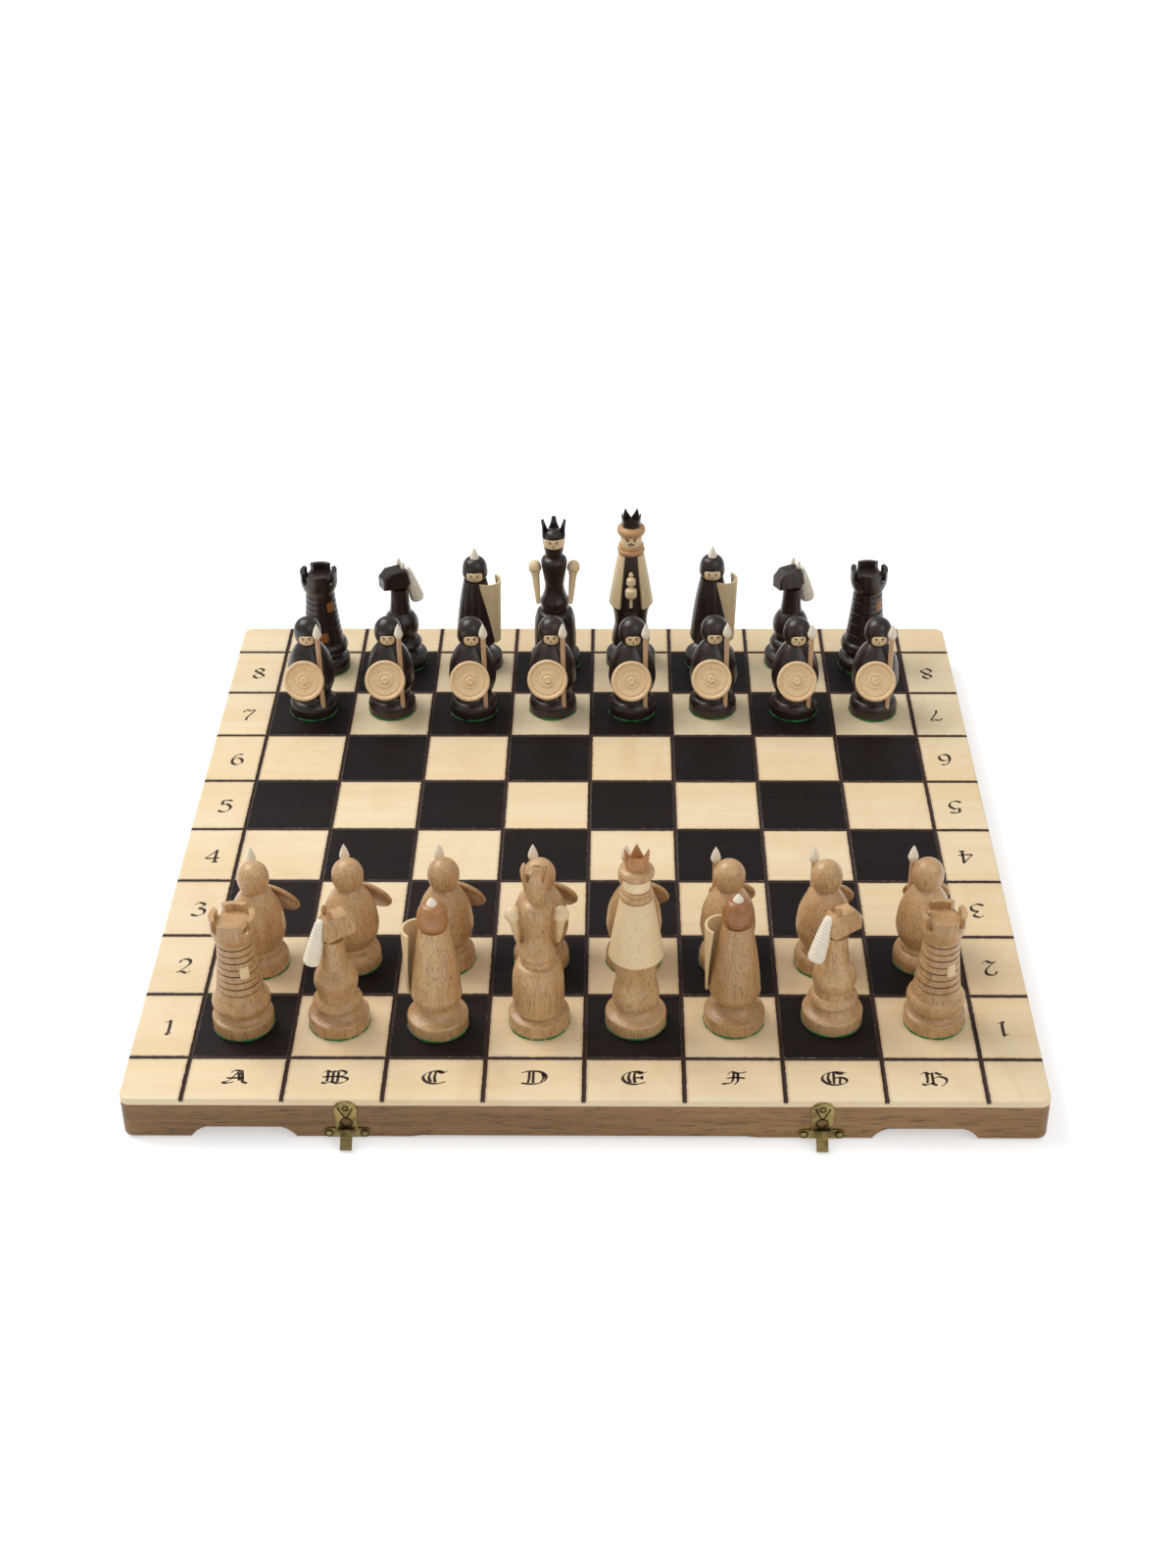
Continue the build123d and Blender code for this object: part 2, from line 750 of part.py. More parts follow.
def king(colour):
    """A robed king: turned body, split cape, collar, face, hat band, pointed crown and sceptre."""
    hip_z = stem_start + king_bell_rise + king_waist_rise + king_hip_rise
    robe_top = hip_z + king_robe_rise
    collar_top = robe_top + king_collar_rise
    face_top = collar_top + king_face_rise
    band_top = face_top + king_band_rise
    body = turned(
        foot_radius,
        felt_thickness,
        foot_steps(foot_radius, king_stem_radius)
        + [
            (king_bell_radius, king_bell_rise, 0.8),
            (king_waist_radius, king_waist_rise, 0.5),
            (king_hip_radius, king_hip_rise, -0.6),
            (king_robe_top_radius, king_robe_rise, 0.4),
            (king_collar_radius, 0.4, 0),
            (king_collar_radius, king_collar_rise * 0.55, 0.5),
            (king_collar_radius - 0.7, 0.2, 0),
            (king_collar_radius - 0.7, king_collar_rise * 0.45 - 0.6, 0.5),
            (king_face_radius, 0, 0),
            (king_face_radius, king_face_rise, 0),
            (king_band_radius, 0.8, 0),
            (king_band_radius, king_band_rise - 1.6, 0.8),
            (king_crown_radius, 0.8, 0),
        ],
    )
    cape_shell = turned(
        king_hip_radius + cape_thickness,
        hip_z + cape_hem,
        [(king_robe_top_radius + cape_thickness, king_robe_rise - cape_hem, 0.5)],
    )
    with BuildPart() as cape:
        add(cape_shell)
        add(body, mode=Mode.SUBTRACT)
        half_open = radians(cape_opening / 2)
        reach = 3 * foot_radius
        with BuildSketch(Plane.XY.offset(hip_z)):
            with BuildLine():
                Polyline(
                    (0, 0),
                    (reach * sin(half_open), reach * cos(half_open)),
                    (-reach * sin(half_open), reach * cos(half_open)),
                    close=True,
                )
            make_face()
        extrude(amount=king_robe_rise + 1, mode=Mode.SUBTRACT)
    cup = turned(
        king_crown_radius,
        band_top,
        [(king_crown_radius + king_crown_flare, king_crown_rise, 0.3),
         (king_crown_radius + king_crown_flare - 1.6, 0, 0),
         (king_crown_radius - 2.2, -king_crown_rise * 0.75, 0)],
    )
    step = 360 / king_crown_points
    gaps = [90 + (k + 0.5) * step for k in range(king_crown_points)]
    gap_width = 2 * (king_crown_radius + king_crown_flare) * sin(radians(step / 2))
    crown = cut_crown(cup, gaps, gap_width, band_top + king_crown_rise * 0.3, king_crown_rise * 0.75)
    front = body_radius_at(king_hip_radius, king_robe_top_radius, king_robe_rise, sceptre_foot, hip_z)
    sceptre = turned(
        sceptre_stem_radius,
        0,
        [
            (sceptre_stem_radius, sceptre_length * 0.42, 0),
            (sceptre_large_ball, sceptre_large_ball, 0.7),
            (sceptre_stem_radius, sceptre_large_ball, 0.7),
            (sceptre_stem_radius, sceptre_length * 0.1, 0),
            (sceptre_small_ball, sceptre_small_ball, 0.5),
            (sceptre_stem_radius * 0.8, sceptre_small_ball, 0.5),
            (0, 2 * sceptre_knob, "dome"),
        ],
    )
    sceptre_lean = degrees(atan2(king_hip_radius - king_robe_top_radius, king_robe_rise))
    sceptre = sceptre.moved(Location((0, front + sceptre_stem_radius, sceptre_foot), (sceptre_lean, 0, 0)))
    return [body, felt_disc(foot_radius), *cape.part.solids(), *crown.solids(), *(sceptre - body).solids()]


def body_radius_at(low_radius, high_radius, rise, z, low_z):
    """Radius of a cone at height z."""
    share = min(max((z - low_z) / rise, 0), 1)
    return low_radius + (high_radius - low_radius) * share


def queen(colour):
    """A queen in a long skirt: turned body, crown of three petals round a dome, and two turned arms."""
    neck = queen_neck_radius[colour]
    skirt_start = foot_top + foot_dish_rise * 0.4
    belt_z = skirt_start + 1.6 + queen_skirt_rise + queen_lap_rise
    waist_z = belt_z + queen_belt_rise + queen_hip_rise + queen_waist_rise
    shoulder_z = waist_z + queen_shoulder_rise
    head_z = shoulder_z + queen_nape_rise
    head_top = head_z + queen_head_rise
    body = turned(
        foot_radius,
        felt_thickness,
        [
            (foot_radius, foot_wall, 0),
            (foot_radius - foot_round, foot_round, 0.35),
            (queen_skirt_radius - 2.4, foot_dish_rise * 0.4, -0.2),
            (queen_skirt_radius, 1.6, 0.5),
            (queen_skirt_radius, queen_skirt_rise, 0.2),
            (queen_lap_radius, queen_lap_rise, 0.4),
            (queen_belt_radius, 2.4, 0.6),
            (queen_belt_radius, queen_belt_rise - 2.4, 0.3),
            (queen_hip_radius, queen_hip_rise, 0.5),
            (queen_waist_radius, queen_waist_rise, -1.0),
            (queen_shoulder_radius, queen_shoulder_rise, -0.5),
            (neck, queen_nape_rise, 1.4),
            (queen_head_radius, queen_head_rise, 0.3),
            (queen_head_radius - 1.6, 0, 0),
            (0, queen_crown_rise * 0.45, "dome"),
        ],
    )
    lean = queen_crown_lean[colour]
    cup = turned(
        queen_head_radius,
        head_top,
        [(queen_head_radius + lean, queen_crown_rise, 0.8 if lean < 0 else -0.4),
         (queen_head_radius + lean - 1.5, 0, 0),
         (queen_head_radius - 1.6, -queen_crown_rise, -0.8 if lean < 0 else 0.4)],
    )
    with BuildPart() as crown:
        for turn in queen_petal_turns:
            forward = Vector(-sin(radians(turn)), cos(radians(turn)), 0)
            petal_plane = Plane(origin=(0, 0, head_top), x_dir=(-forward.Y, forward.X, 0), z_dir=forward)
            with BuildSketch(petal_plane):
                with BuildLine():
                    Polyline(
                        (-queen_petal_width * 0.75, 0),
                        (queen_petal_width * 0.75, 0),
                        (queen_petal_width * 0.28, queen_crown_rise),
                        (-queen_petal_width * 0.28, queen_crown_rise),
                        close=True,
                    )
                make_face()
            extrude(amount=2 * queen_head_radius)
        add(cup, mode=Mode.INTERSECT)
    pieces = [body, felt_disc(foot_radius), *(crown.part - body).solids()]
    lean_angle = degrees(atan2(arm_offset - arm_wrist_offset, arm_length))
    for hand in (-1, 1):
        arm = turned(
            arm_wrist_radius,
            -arm_length,
            [
                (arm_ring_radius * 0.85, arm_length - 2 * arm_ball_radius, 0),
                (arm_ring_radius, 0.6, 0.3),
                (arm_ring_radius * 0.8, 0.9, 0.3),
                (arm_ball_radius, arm_ball_radius, 0.9),
                (0, arm_ball_radius, "dome"),
            ],
        )
        arm = arm.moved(Location((0, 0, arm_ball_radius)))
        tilt = Location((0, 0, 0), (arm_swing, hand * lean_angle, 0))
        place = Location((hand * arm_offset, 0, shoulder_z - arm_ball_radius))
        pieces += [s for s in (arm.moved(place * tilt) - body).solids() if s.volume > 1]
    return pieces


def bishop(colour):
    """A bishop in a long robe, with a round helmet, a spike and a curved tower shield at its left side."""
    hem_z = stem_start + bishop_hem_rise
    shoulder_z = hem_z + bishop_robe_rise
    head_top = shoulder_z + bishop_head_rise
    body = turned(
        foot_radius,
        felt_thickness,
        foot_steps(foot_radius, bishop_stem_radius)
        + [
            (bishop_stem_radius, bishop_hem_rise * 0.3, 0),
            (bishop_hem_radius, bishop_hem_rise * 0.45, 1.1),
            (bishop_hem_radius, bishop_hem_rise * 0.25, 0.2),
            (bishop_shoulder_radius, bishop_robe_rise, 0.9),
            (bishop_nape_radius, 0.2, 0),
            (bishop_head_radius, bishop_head_rise * 0.45, 1.0),
            (bishop_spike_radius * 0.9, bishop_head_rise * 0.55 - 0.2, "dome"),
        ],
    )
    spike = turned(bishop_spike_radius * 0.9, head_top, [(0, bishop_spike_rise[colour], 0.2)])
    bottom = tower_shield_foot
    top = bottom + tower_shield_length
    outer = turned(tower_shield_radius * tower_shield_taper, bottom, [(tower_shield_radius, tower_shield_length, 0)])
    bore = turned(
        tower_shield_radius * tower_shield_taper - tower_shield_thickness,
        bottom,
        [(tower_shield_radius - tower_shield_thickness, tower_shield_length, 0)],
    )
    with BuildPart() as shield:
        add(outer)
        add(bore, mode=Mode.SUBTRACT)
        with BuildSketch(Plane.XZ.offset(-2 * tower_shield_radius)):
            with BuildLine():
                Polyline(
                    (0, top),
                    (-2 * tower_shield_radius, top),
                    (-2 * tower_shield_radius, bottom),
                    (-tower_shield_point * tower_shield_radius * tower_shield_taper, bottom),
                    close=True,
                )
            make_face()
        extrude(amount=4 * tower_shield_radius, mode=Mode.INTERSECT)
    placed = shield.part.moved(Location((-tower_shield_offset, 0, 0), (0, 0, -tower_shield_turn)))
    pieces = [body, felt_disc(foot_radius), spike]
    return pieces + [s for s in (placed - body).solids() if s.volume > 20]


def knight(colour):
    """A knight: turned body, upright neck, angular horse's head, two ears and a hanging mane."""
    chest_z = stem_start + knight_ring_rise + knight_pinch_rise + knight_ball_rise
    neck_top = chest_z + knight_neck_rise
    body = turned(
        foot_radius,
        felt_thickness,
        foot_steps(foot_radius, knight_pinch_radius)
        + [
            (knight_ring_radius, knight_ring_rise * 0.45, 0.6),
            (knight_pinch_radius, knight_ring_rise * 0.55, 0.5),
            (knight_pinch_radius, knight_pinch_rise, 0.2),
            (knight_chest_radius, knight_ball_rise, knight_ball_radius - knight_pinch_radius + 1.4),
            (knight_neck_radius, knight_neck_rise, -0.3),
        ],
    )
    poll_z = neck_top + horse_head_depth
    with BuildPart() as head:
        with BuildSketch(Plane.XZ.offset(-horse_head_width / 2)):
            with BuildLine():
                Polyline(
                    (-horse_back, neck_top + horse_throat_rise),
                    (-horse_back * 0.6, neck_top),
                    (horse_muzzle, neck_top + horse_chin_rise),
                    (horse_muzzle, neck_top + horse_chin_rise + horse_muzzle_depth),
                    (horse_muzzle - horse_brow_setback, poll_z),
                    (-horse_back * 0.5, poll_z),
                    (-horse_back * 0.8, poll_z - horse_nape_drop),
                    close=True,
                )
            make_face()
        extrude(amount=horse_head_width)
        chamfer(head.edges().filter_by(Plane.XZ).filter_by(GeomType.LINE), horse_edge)
        add(body, mode=Mode.SUBTRACT)
    above = [*head.part.solids()]
    for side in (-1, 1):
        ear = turned(0.6, 0, [(horse_ear_radius, horse_ear_height * 0.35, 0.1), (0, horse_ear_height * 0.65, 0.3)])
        ear = ear.moved(Location((-horse_back * 0.3, side * horse_head_width * 0.3, poll_z - 0.6)))
        above += [s for s in (ear - head.part).solids() if s.volume > 0.5]
    mane = turned(mane_foot_radius * 0.8, -mane_length, [
        (mane_foot_radius, 2.0, 0.3),
        (mane_top_radius, mane_length - 4.0, 0.2),
        (0, 2.0, 0.5),
    ])
    mane = mane.moved(Location((-horse_back * 0.8, 0, poll_z - 1.0), (0, mane_lean, 0)))
    above += [s for s in (mane - body - head.part).solids() if s.volume > 20]
    turn = Location((0, 0, 0), (0, 0, knight_head_turn))
    return [body, felt_disc(foot_radius), *[piece.moved(turn) for piece in above]]


def rook(colour):
    """A tower: turned body with burnt rings, a flared parapet with four gaps and a sunken floor."""
    tower_z = stem_start - foot_dish_rise * 0.4 + rook_bulge_rise + rook_shoulder_rise
    tower_top = tower_z + rook_tower_rise
    parapet_top = tower_top + rook_flare_rise + rook_parapet_rise
    body = turned(
        foot_radius,
        felt_thickness,
        [
            (foot_radius, foot_wall, 0),
            (foot_radius - foot_round, foot_round, 0.35),
            (rook_foot_radius, foot_dish_rise * 0.6, -0.3),
            (rook_bulge_radius, rook_bulge_rise * 0.5, 0.6),
            (rook_foot_radius + 0.8, rook_bulge_rise * 0.5, 0.9),
            (rook_foot_radius, rook_shoulder_rise, 0.1),
            (rook_top_radius, rook_tower_rise, -0.3),
            (rook_parapet_radius, rook_flare_rise, 0.6),
            (rook_parapet_radius, rook_parapet_rise, 0),
            (rook_parapet_radius - rook_parapet_wall, 0, 0),
            (rook_parapet_radius - rook_parapet_wall, -rook_floor_depth, 0),
        ],
    )
    with BuildPart() as tower:
        add(body)
        pitch = rook_tower_rise / rook_grooves
        with BuildSketch(Plane.XZ):
            for k in range(rook_grooves):
                z = tower_z + (k + 0.5) * pitch
                radius = body_radius_at(rook_foot_radius, rook_top_radius, rook_tower_rise, z, tower_z)
                with BuildLine():
                    Polyline(
                        (radius + 1, z - rook_groove_depth),
                        (radius + 1, z + rook_groove_depth),
                        (radius - rook_groove_depth, z),
                        close=True,
                    )
                make_face()
        revolve(axis=Axis.Z, mode=Mode.SUBTRACT)
        for angle in (45, 135):
            gap = Plane(origin=(0, 0, 0), x_dir=(-sin(radians(angle)), cos(radians(angle)), 0),
                        z_dir=(cos(radians(angle)), sin(radians(angle)), 0))
            with BuildSketch(gap.offset(-foot_radius)):
                with Locations((0, parapet_top - rook_floor_depth / 2 + 1)):
                    Rectangle(rook_gap_width, rook_floor_depth + 2)
                with Locations((0, parapet_top - rook_floor_depth)):
                    Circle(rook_gap_width / 2)
            extrude(amount=2 * foot_radius, mode=Mode.SUBTRACT)
    return [*tower.part.solids(), felt_disc(foot_radius)]


def pawn(colour):
    """A foot soldier: egg-shaped body, domed helmet, round shield in front and a spear at its left."""
    belly_z = stem_start - foot_dish_rise * 0.5 + pawn_collar_rise + pawn_belly_rise
    chest_top = belly_z + pawn_chest_rise
    body = turned(
        pawn_foot_radius,
        felt_thickness,
        [
            (pawn_foot_radius, foot_wall * 0.8, 0),
            (pawn_collar_radius, foot_wall * 0.2 + foot_round + foot_dish_rise * 0.5, 0.8),
            (pawn_pinch_radius, pawn_collar_rise, 0.5),
            (pawn_belly_radius, pawn_belly_rise, 2.0),
            (pawn_neck_radius, pawn_chest_rise, 2.2),
            (pawn_nape_radius, pawn_nape_rise, 0),
            (pawn_head_radius, pawn_head_rise * 0.45, 0.6),
            (0, pawn_head_rise * 0.55 - pawn_nape_rise, "dome"),
        ],
    )
    shield = turned(
        round_shield_radius - 1.2,
        -round_shield_thickness / 2,
        [
            (round_shield_radius, 1.0, 0.2),
            (round_shield_radius, 0.8, 0),
            (round_shield_radius - 1.4, 1.0, 0.3),
            (round_shield_radius * 0.68, -0.8, 0.1),
            (round_shield_radius * 0.24, 0.4, 0.2),
            (round_shield_radius * 0.2, -0.5, 0),
            (round_shield_radius * 0.1, 0.6, 0.2),
            (0, 0.5, 0.1),
        ],
    )
    lean = radians(round_shield_lean)
    reach = pawn_belly_radius + round_shield_standoff + round_shield_thickness / 2 * cos(lean)
    centre = (round_shield_side, reach, round_shield_height)
    shield = shield.moved(Location(centre, (round_shield_lean - 90, 0, 0)))
    spear_top = chest_top + pawn_head_rise + spear_rise_over_head
    shaft = turned(spear_radius, spear_foot, [(spear_radius, spear_top - spear_head_length - spear_foot, 0)])
    blade = turned(
        spear_radius,
        spear_top - spear_head_length,
        [(spear_head_radius, spear_head_length * 0.3, 0.3), (0, spear_head_length * 0.7, 0.3)],
    )
    spear_place = Location((-spear_side, spear_front, 0))
    shaft = shaft.moved(spear_place)
    shaft_pieces = [s for s in (shaft - body - shield).solids() if s.volume > 1]
    shield_pieces = [s for s in (shield - body).solids() if s.volume > 50]
    return [body, felt_disc(pawn_foot_radius), *shield_pieces, *shaft_pieces, blade.moved(spear_place)]


# Where each man stands: kind, then its turn about the upright axis and its shift from its square's centre
back_row = ("rook", "knight", "bishop", "queen", "king", "bishop", "knight", "rook")
white_back = (
    (0, -1.5, 2.6), (0, -2.1, 3.6), (0, -0.9, 2.2), (0, 1.3, 4.5),
    (0, 1.1, 4.8), (0, 1.9, 6.1), (0, 2.4, 7.5), (0, 5.0, 6.1),
)
white_front = (
    (-24, 1.6, 1.6), (-23, 0.7, 4.5), (-22, 0.8, 5.2), (-18, 1.0, 5.0),
    (-15, 0.3, 5.6), (-3, -0.2, 4.3), (-9, 0.3, 3.8), (-3, 3.5, 6.0),
)
black_front = (
    (180, 0.7, 6.0), (181, 0.1, 6.6), (184, 1.3, 5.9), (178, 0.9, 7.3),
    (184, 0.4, 5.9), (180, 0.9, 8.0), (185, 1.5, 5.8), (180, 1.1, 5.7),
)
black_back = (
    (180, 2.7, 9.0), (180, 2.5, 14.2), (180, 1.2, 12.0), (180, 1.3, 14.0),
    (180, -0.3, 15.0), (180, 1.0, 14.4), (180, 2.2, 15.0), (180, -0.2, 11.2),
)
patterns = {"king": king, "queen": queen, "bishop": bishop, "knight": knight, "rook": rook, "pawn": pawn}
made = {}


def stand(kind, colour, column, row, turn, shift_x, shift_y):
    """Places one man on its square and writes it."""
    if (kind, colour) not in made:
        made[kind, colour] = patterns[kind](colour)
    x = -grid_edge + (column + 0.5) * square + shift_x
    y = -grid_edge + (row + 0.5) * square + shift_y
    place = Location((x, y, top_z), (0, 0, turn))
    name = f"{colour}_{kind}_{'abcdefgh'[column]}"
    man = Compound(label=name, children=[piece.moved(place) for piece in made[kind, colour]])
    export_step(man, f"parts/{name}.step")


for column in range(squares_across):
    stand(back_row[column], "white", column, 0, *white_back[column])
    stand("pawn", "white", column, 1, *white_front[column])
    stand("pawn", "black", column, squares_across - 2, *black_front[column])
    stand(back_row[column], "black", column, squares_across - 1, *black_back[column])
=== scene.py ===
"""Dresses the folding chess set: finishes for the board, and turned, carved and lettered pieces for the rest.

Lengths are millimetres, and piece() makes them metres. Each man is worked out standing at the origin and
facing +Y, and is then turned and set on its square.
"""

from math import cos, pi, radians, sin

import bmesh
import bpy
import numpy as np
from mathutils import Matrix, Vector


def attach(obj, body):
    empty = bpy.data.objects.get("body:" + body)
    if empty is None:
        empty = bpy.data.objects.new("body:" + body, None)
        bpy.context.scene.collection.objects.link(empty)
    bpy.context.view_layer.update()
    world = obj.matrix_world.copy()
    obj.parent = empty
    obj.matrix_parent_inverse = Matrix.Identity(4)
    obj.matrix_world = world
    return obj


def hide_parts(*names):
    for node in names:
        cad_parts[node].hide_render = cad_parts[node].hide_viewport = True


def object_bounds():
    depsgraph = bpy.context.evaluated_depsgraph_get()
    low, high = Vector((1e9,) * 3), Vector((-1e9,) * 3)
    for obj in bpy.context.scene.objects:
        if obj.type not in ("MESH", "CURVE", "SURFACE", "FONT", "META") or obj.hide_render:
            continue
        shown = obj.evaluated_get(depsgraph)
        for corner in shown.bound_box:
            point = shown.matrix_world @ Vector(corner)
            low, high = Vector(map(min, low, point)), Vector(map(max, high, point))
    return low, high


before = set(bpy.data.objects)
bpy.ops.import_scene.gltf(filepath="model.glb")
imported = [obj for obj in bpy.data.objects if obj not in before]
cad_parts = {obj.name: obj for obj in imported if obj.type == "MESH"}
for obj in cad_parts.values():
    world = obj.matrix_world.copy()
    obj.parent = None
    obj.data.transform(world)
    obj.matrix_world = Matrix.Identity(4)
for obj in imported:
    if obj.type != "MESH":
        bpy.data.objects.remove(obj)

cad_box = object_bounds()

# Sizes that several pieces share
MM = 0.001              # metres in a millimetre
SQUARE = 54.0           # side of a square
GRID_EDGE = 4 * SQUARE  # the edge of the squares, from the middle of the board
HALF_BOARD = 250.0      # the edge of the board, from its middle
TOP_Z = 27.0            # the face that the men stand on
FELT_TOP = 0.8          # where a man's wood starts, above that face
OFFICER_FOOT = 17.0     # radius of the foot of every man but a pawn
PAWN_FOOT = 16.0        # radius of a pawn's foot
FRONT = 90.0            # the way a man faces, in degrees round from +X
FILES = "abcdefgh"

# How finely pieces are cut
SIDES = 72              # facets round a turned piece
EASE = 0.3              # how far a sharp corner is eased
SHARP_ANGLE = 34.0      # degrees past which an edge is shaded sharp


def square_middle(count):
    """The middle of a row or column of squares, counted from 0 at the near or left edge."""
    return -GRID_EDGE + (count + 0.5) * SQUARE


# Shapes: each is (points, quads), and a face whose corners coincide closes up into a triangle
def surface(points, ring=False):
    """A grid of points (rows, columns, 3) as quads; a ring also joins its last column to the first."""
    rows, columns = points.shape[:2]
    index = np.arange(rows * columns).reshape(rows, columns)
    if ring:
        index = np.concatenate([index, index[:, :1]], axis=1)
    quads = np.stack([index[:-1, :-1], index[:-1, 1:], index[1:, 1:], index[1:, :-1]], axis=-1)
    return points.reshape(-1, 3), quads.reshape(-1, 4)


def shell(outer, inner):
    """A closed wall between two grids of the same size: the two faces, with strips round all four edges."""
    columns = outer.shape[1]
    points, sides = surface(np.concatenate([outer, inner[:, ::-1]], axis=1), ring=True)
    index = np.arange(len(points)).reshape(outer.shape[0], 2 * columns)
    caps = []
    for row, order in ((0, 1), (-1, -1)):
        a, b = index[row, :columns], index[row, columns:][::-1]
        caps.append(np.stack([a[:-1], b[:-1], b[1:], a[1:]], axis=-1)[:, ::order])
    return points, np.concatenate([sides, *caps])


def joined(*shapes):
    """Several shapes as one, with the faces' numbers counted on."""
    counts = np.cumsum([0] + [len(points) for points, _ in shapes])
    quads = [faces + start for (_, faces), start in zip(shapes, counts)]
    return np.concatenate([points for points, _ in shapes]), np.concatenate(quads)


def turn(axis, degrees):
    """A turn about X, Y or Z as a 3 by 3 array."""
    return np.array(Matrix.Rotation(radians(degrees), 3, axis))


def placed(shape, shift=(0, 0, 0), spin=None):
    """A shape turned about the origin and then shifted."""
    points, faces = shape
    if spin is not None:
        points = points @ spin.T
    return points + np.array(shift, float), faces


def about_z(radius, angle, z):
    """Points round the Z axis: (radius * cos of the angle, radius * sin of the angle, z)."""
    radius, angle, z = np.broadcast_arrays(radius, angle, z)
    return np.stack([radius * np.cos(angle), radius * np.sin(angle), z], axis=-1)


def bent_wall(outer, inner, angle, z):
    """A closed wall bent round the Z axis, between an outer and an inner radius."""
    return shell(about_z(outer, angle, z), about_z(inner, angle, z))


def outline(radius, z, steps):
    """Points (radius, z) up a turned outline.

    A step is (next radius, rise, bow). A bow of 0 is a straight run. A number is a quadratic Bezier whose
    control point stands off the run's middle by twice the bow. "dome" is a quarter of an ellipse that
    arrives level. A bowed run has five points and one more for each 1.4 of its length.
    """
    runs = [np.array([[radius, z]], float)]
    for next_radius, rise, bow in steps:
        here, there = np.array([radius, z], float), np.array([next_radius, z + rise], float)
        length = np.hypot(*(there - here))
        t = np.linspace(0, 1, 2 if not bow else int(5 + length / 1.4))[1:, None]
        if bow == "dome":
            quarter = t * pi / 2
            run = np.concatenate([there[0] + (here[0] - there[0]) * np.cos(quarter),
                                  here[1] + rise * np.sin(quarter)], axis=1)
        elif bow:
            along = (there - here) / length
            control = (here + there) / 2 + np.array([along[1], -along[0]]) * 2 * bow
            run = (1 - t) ** 2 * here + 2 * t * (1 - t) * control + t ** 2 * there
        else:
            run = here + (there - here) * t
        runs.append(run)
        radius, z = there
    return np.concatenate(runs)


def eased(path):
    """The outline with three points in place of each corner that turns by more than 22 degrees.

    The outer two lie EASE before and after the corner, or 0.4 of the run where that is less. The third lies
    halfway from the corner to the middle of those two.
    """
    corner = path[1:-1]
    before, after = path[:-2] - corner, path[2:] - corner
    near, far = np.hypot(*before.T)[:, None], np.hypot(*after.T)[:, None]
    near, far = np.maximum(near, 1e-9), np.maximum(far, 1e-9)
    straight = -(before * after).sum(axis=1) / (near * far)[:, 0]
    sharp = straight < cos(radians(22))
    a = corner + before / near * np.minimum(EASE, near * 0.4)
    b = corner + after / far * np.minimum(EASE, far * 0.4)
    middle = np.where(sharp[:, None], corner * 0.5 + (a + b) * 0.25, corner)
    trios = np.stack([a, middle, b], axis=1)
    keep = np.stack([sharp, np.ones_like(sharp), sharp], axis=1)
    return np.concatenate([path[:1], trios[keep], path[-1:]])


def lathe(path, sides=SIDES, ripple=0.0, ripples=0):
    """An outline (radius, z) turned round Z; a ripple swells and shrinks the radius round it as a cosine."""
    angle = np.arange(sides) / sides * 2 * pi
    radius = path[:, :1] * (1 + ripple * np.cos(ripples * angle))
    return surface(about_z(radius, angle, path[:, 1:]), ring=True)


def turned(radius, z, steps, sides=SIDES):
    """A solid turned from its outline, closed to the axis at both ends."""
    path = eased(outline(radius, z, steps))
    return lathe(np.concatenate([[[0, z]], path, [[0, path[-1, 1]]]]), sides)


def turned_ring(radius, z, steps):
    """A ring turned from an outline that comes back to its start."""
    path = eased(outline(radius, z, steps))
    return lathe(np.concatenate([path, path[:1]]))


def pillow_on(radius_at, facing, z, half_width, half_height, lift, power, tilt=0.0, depth=0.5):
    """A patch raised on a turned surface, round the direction facing in degrees.

    Its rim is the superellipse |u / half width| ^ power + |v / half height| ^ power = 1, turned by tilt.
    The height over the surface is lift * (1 - s ^ 4) for the share s of the way to the rim, and its back
    lies depth inside.
    """
    angle = np.arange(40) / 40 * 2 * pi
    reach = (np.abs(np.cos(angle)) ** power + np.abs(np.sin(angle)) ** power) ** (-1 / power)
    rows = np.linspace(0, 1, 9)
    share = np.concatenate([rows ** 0.7, [1.0, 0.5, 0.0]])[:, None]
    height = np.concatenate([lift * (1 - rows ** 2.8), [-depth] * 3])[:, None]
    u = share * reach * np.cos(angle) * half_width
    v = share * reach * np.sin(angle) * half_height
    lean = radians(tilt)
    across, up = u * cos(lean) - v * sin(lean), u * sin(lean) + v * cos(lean)
    radius = np.interp(z + up, radius_at[:, 1], radius_at[:, 0])
    around = radians(facing) - across / radius
    return surface(about_z(radius + height, around, z + up)[:, ::-1], ring=True)


def prism(corners, low, high, ease):
    """A convex outline (x, z) carried along Y between low and high, each end drawn in towards the middle.

    Over the last ease of the length at each end, every corner moves 1.3 * ease towards the outline's
    middle.
    """
    corners = np.array(corners, float)
    middle = corners.mean(axis=0)
    inward = middle - corners
    small = corners + inward / np.hypot(*inward.T)[:, None] * ease * 1.3
    levels = [(middle + 0 * corners, low), (small, low), (corners, low + ease), (corners, high - ease),
              (small, high), (middle + 0 * corners, high)]
    rows = [np.stack([flat[:, 0], np.full(len(flat), y), flat[:, 1]], axis=-1) for flat, y in levels]
    return surface(np.array(rows), ring=True)


